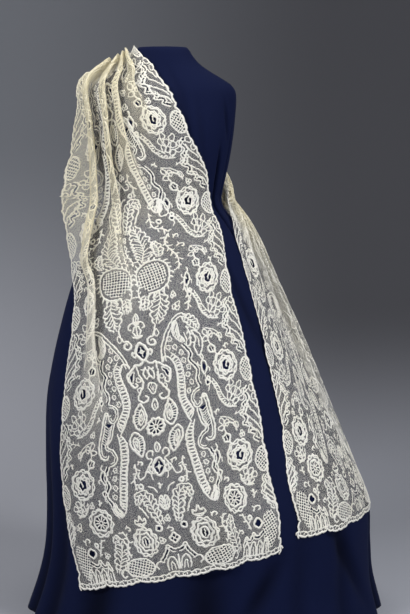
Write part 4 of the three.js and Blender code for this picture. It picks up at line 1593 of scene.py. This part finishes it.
def net_arrays(drape, step):
    """The whole stole as one net: vertices, faces, flat places and the values its material needs."""
    rows = np.linspace(0, STOLE_LENGTH, int(STOLE_LENGTH / step) + 1)
    shares = np.linspace(-1, 1, int(STOLE_WIDTH / step) + 1)
    flat = (half_width_at(rows) - fine_notch(rows))[:, None] * shares
    along = np.repeat(rows[:, None], len(shares), 1)
    notch = hem_notch_at(flat) + fine_notch(flat)
    near_front = np.clip(1 - along / HEM_EASE, 0, 1)
    near_side = np.clip(1 - (STOLE_LENGTH - along) / HEM_EASE, 0, 1)
    along = along + notch * near_front - notch * near_side
    points = drape.at(along, flat).reshape(-1, 3) * MM
    i, j = np.meshgrid(np.arange(len(rows) - 1), np.arange(len(shares) - 1), indexing="ij")
    corner = (i * len(shares) + j).ravel()
    faces = np.stack([corner, corner + 1, corner + len(shares) + 1, corner + len(shares)], -1)
    flats = np.stack([flat.ravel(), along.ravel()], -1)
    slits = [stroke for stroke in field_strokes() + border_strokes() if stroke.slit]
    away = openness(slits, flats)
    kept = away[faces].max(1) > SLIT_FACES
    values = {
        # Warmth: partly ageing, partly painted warm light
        "warmth": drape.warmth_at(along, flat).ravel(),
        "gather": drape.gather_at(along, flat).ravel(),
        "from_slit": away,
    }
    return points, faces[kept], flats, values


def settings_of(context):
    return context.scene.lace_stole


class LaceStoleSettings(PropertyGroup):
    """Sizes and colours of the lace and the form's cover."""

    cream: FloatVectorProperty(
        name="Cream", description="Colour of the cotton", subtype="COLOR", size=3,
        default=(0.93, 0.915, 0.85), min=0, max=1)
    # Yellow end of the cotton's colour: partly ageing, partly painted warm light
    aged_and_warm_lit: FloatVectorProperty(
        name="Aged cream", description="Colour of the cotton in its warm folds", subtype="COLOR", size=3,
        default=(0.90, 0.82, 0.57), min=0, max=1)
    navy: FloatVectorProperty(
        name="Navy", description="Colour of the form's cover", subtype="COLOR", size=3,
        default=(0.0037, 0.0068, 0.031), min=0, max=1)
    navy_worn: FloatVectorProperty(
        name="Worn navy", description="Colour of the cover's faded patches", subtype="COLOR", size=3,
        default=(0.0058, 0.0104, 0.046), min=0, max=1)
    net_pitch: FloatProperty(
        name="Net pitch", description="Distance between the net's threads", unit="LENGTH",
        default=0.0018, min=0.001, max=0.01)
    net_thread: FloatProperty(
        name="Net thread", description="Width of one thread of the net", unit="LENGTH",
        default=0.00013, min=0.00005, max=0.002)
    tape_height: FloatProperty(
        name="Tape height", description="Height of the worked tapes over the net", unit="LENGTH",
        default=0.00045, min=0.0001, max=0.002)
    tape_step: FloatProperty(
        name="Tape step", description="Length of one segment of a tape", unit="LENGTH",
        default=0.0036, min=0.001, max=0.01)
    net_step: FloatProperty(
        name="Net step", description="Size of one face of the net", unit="LENGTH",
        default=0.0048, min=0.003, max=0.02)


class LACESTOLE_OT_form_cover(Operator):
    """Covers the dress form's bust and skirt in navy cloth"""

    bl_idname = "lacestole.form_cover"
    bl_label = "Form Cover"
    bl_options = {"REGISTER", "UNDO"}

    def execute(self, context):
        piece = cover_piece("form_cloth", cover_material(settings_of(context)))
        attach(piece, "root")
        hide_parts("form_bust", "form_skirt")
        return {"FINISHED"}


class LACESTOLE_OT_net(Operator):
    """Drapes the stole's net over the form"""

    bl_idname = "lacestole.net"
    bl_label = "Lace Net"
    bl_options = {"REGISTER", "UNDO"}

    def execute(self, context):
        settings = settings_of(context)
        points, faces, flats, values = net_arrays(stole_drape(), settings.net_step / MM)
        piece = mesh_object("stole_net", points, faces, lace_material(settings, netted=True))
        layer = piece.data.uv_layers.new(name="flat")
        corners = np.empty(len(piece.data.loops), int)
        piece.data.loops.foreach_get("vertex_index", corners)
        places = flats[corners][:, ::-1] / FLAT_UV_SPAN + FLAT_UV_START
        layer.data.foreach_set("uv", places.ravel())
        for name, numbers in values.items():
            point_values(piece, name, numbers)
        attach(piece, "root")
        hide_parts("shawl_front", "shawl_back", "shawl_side")
        return {"FINISHED"}


class LACESTOLE_OT_tapes(Operator):
    """Works the flowers, scrolls and borders of the lace onto its net"""

    bl_idname = "lacestole.tapes"
    bl_label = "Lace Tapes"
    bl_options = {"REGISTER", "UNDO"}

    def execute(self, context):
        settings = settings_of(context)
        net = bpy.data.objects.get("stole_net")
        if net is None:
            raise RuntimeError("The net has to be made before its tapes")
        material = lace_material(settings, netted=False)
        field, border = field_strokes(), border_strokes()
        field += sprig_strokes(field + border)
        for kind, strokes in (("motifs", field), ("border", border)):
            for stretch, (low, high) in STRETCHES.items():
                chosen = strokes_between(strokes, low, high)
                points, faces, warmth = ribbons(
                    chosen, stole_drape(), settings.tape_height / MM, settings.tape_step / MM)
                piece = mesh_object(f"{kind}_{stretch}", points, faces, material)
                point_values(piece, "warmth", warmth)
                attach(piece, "root")
        return {"FINISHED"}


def sweep_material():
    """Paper with painted light falloff: it darkens as it rises and towards one side, and lightens towards
    the camera. Seen from behind it is clear.
    """
    material, tree, surface = new_material("studio_paper")
    split = tree.nodes.new("ShaderNodeSeparateXYZ")
    feed(tree, split.inputs[0], object_place(tree))
    # Painted light falloff, by height and by nearness to the camera
    height = math_node(tree, "MULTIPLY_ADD", split.outputs["Y"], PAPER_FALLOFF_SLOPE, split.outputs["Z"])
    paper_falloffs = []
    for paper in (LEFT_PAPER_FALLOFF, RIGHT_PAPER_FALLOFF):
        share = soft_range(tree, height, paper.low, paper.high)
        paper_falloffs.append(mix_colours(tree, share, paper.foot, paper.head))
    across = soft_range(tree, split.outputs["X"], *PAPER_FALLOFF_TURNS)
    feed(tree, surface.inputs["Base Color"], mix_colours(tree, across, *paper_falloffs))
    set_finish(surface, roughness=0.9, specular=0.1)
    mixed = tree.nodes.new("ShaderNodeMixShader")
    feed(tree, mixed.inputs[0], tree.nodes.new("ShaderNodeNewGeometry").outputs["Backfacing"])
    feed(tree, mixed.inputs[1], surface.outputs[0])
    feed(tree, mixed.inputs[2], tree.nodes.new("ShaderNodeBsdfTransparent").outputs[0])
    feed(tree, tree.nodes["Material Output"].inputs["Surface"], mixed.outputs[0])
    return material


def studio_sweep():
    """Floor that curves up into a backdrop."""
    floor, across, upward = new_grid("studio_sweep", 2, SWEEP_ROWS)
    run = upward * SWEEP_RUN
    bend = np.clip((run - SWEEP_FLAT) / SWEEP_RADIUS, 0, np.pi / 2)
    rise = np.maximum(0, run - SWEEP_FLAT - SWEEP_RADIUS * np.pi / 2)
    back = np.minimum(run, SWEEP_FLAT) + SWEEP_RADIUS * np.sin(bend) - SWEEP_START
    up = SWEEP_RADIUS * (1 - np.cos(bend)) + rise
    points = np.stack([(across - 0.5) * SWEEP_WIDTH, back, up], -1)
    floor.data.vertices.foreach_set("co", points.ravel())
    bpy.ops.object.shade_smooth()
    floor.data.materials.append(sweep_material())
    return floor


def place_light(scene, lamp):
    """A rectangular area light."""
    light = bpy.data.lights.new(lamp.name, "AREA")
    light.shape = "RECTANGLE"
    light.size, light.size_y = lamp.size
    light.energy = lamp.watts
    holder = bpy.data.objects.new(lamp.name, light)
    holder.location = lamp.place
    holder.rotation_euler = [math.radians(angle) for angle in lamp.turn]
    scene.collection.objects.link(holder)


def place_camera(scene):
    """The photograph's viewpoint."""
    camera = bpy.data.cameras.new("photo_camera")
    camera.lens = CAMERA_LENS
    camera.sensor_width = CAMERA_SENSOR
    eye = bpy.data.objects.new("photo_camera", camera)
    eye.location = CAMERA_PLACE
    eye.rotation_euler = (math.radians(CAMERA_TILT), 0, 0)
    scene.collection.objects.link(eye)
    scene.camera = eye


class LACESTOLE_OT_stage(Operator):
    """Sets the floor, backdrop, lights and camera"""

    bl_idname = "lacestole.stage"
    bl_label = "Stage"
    bl_options = {"REGISTER", "UNDO"}

    def execute(self, context):
        studio_sweep()
        for lamp in STAGE_LIGHTS:
            place_light(context.scene, lamp)
        place_camera(context.scene)
        world = bpy.data.worlds.new("studio_air")
        world.use_nodes = True
        world.node_tree.nodes["Background"].inputs["Color"].default_value = AIR_GREY
        context.scene.world = world
        context.scene.view_settings.view_transform = "Standard"
        context.scene.cycles.transparent_max_bounces = CLEAR_LAYERS
        return {"FINISHED"}


class LACESTOLE_PT_panel(Panel):
    """Buttons that build the stole piece by piece"""

    bl_idname = "LACESTOLE_PT_panel"
    bl_label = "Lace Stole"
    bl_space_type = "VIEW_3D"
    bl_region_type = "UI"
    bl_category = "Lace Stole"

    def draw(self, context):
        settings = settings_of(context)
        column = self.layout.column()
        for name in LaceStoleSettings.__annotations__:
            column.prop(settings, name)
        for operator in OPERATORS:
            column.operator(operator.bl_idname)


OPERATORS = (LACESTOLE_OT_form_cover, LACESTOLE_OT_net, LACESTOLE_OT_tapes, LACESTOLE_OT_stage)
CLASSES = (LaceStoleSettings, *OPERATORS, LACESTOLE_PT_panel)


def register():
    for item in CLASSES:
        bpy.utils.register_class(item)
    bpy.types.Scene.lace_stole = PointerProperty(type=LaceStoleSettings)


def unregister():
    del bpy.types.Scene.lace_stole
    for item in reversed(CLASSES):
        bpy.utils.unregister_class(item)


def main():
    register()
    bpy.ops.lacestole.form_cover()
    bpy.ops.lacestole.net()
    bpy.ops.lacestole.tapes()
    bpy.ops.lacestole.stage()


if __name__ == "__main__":
    main()
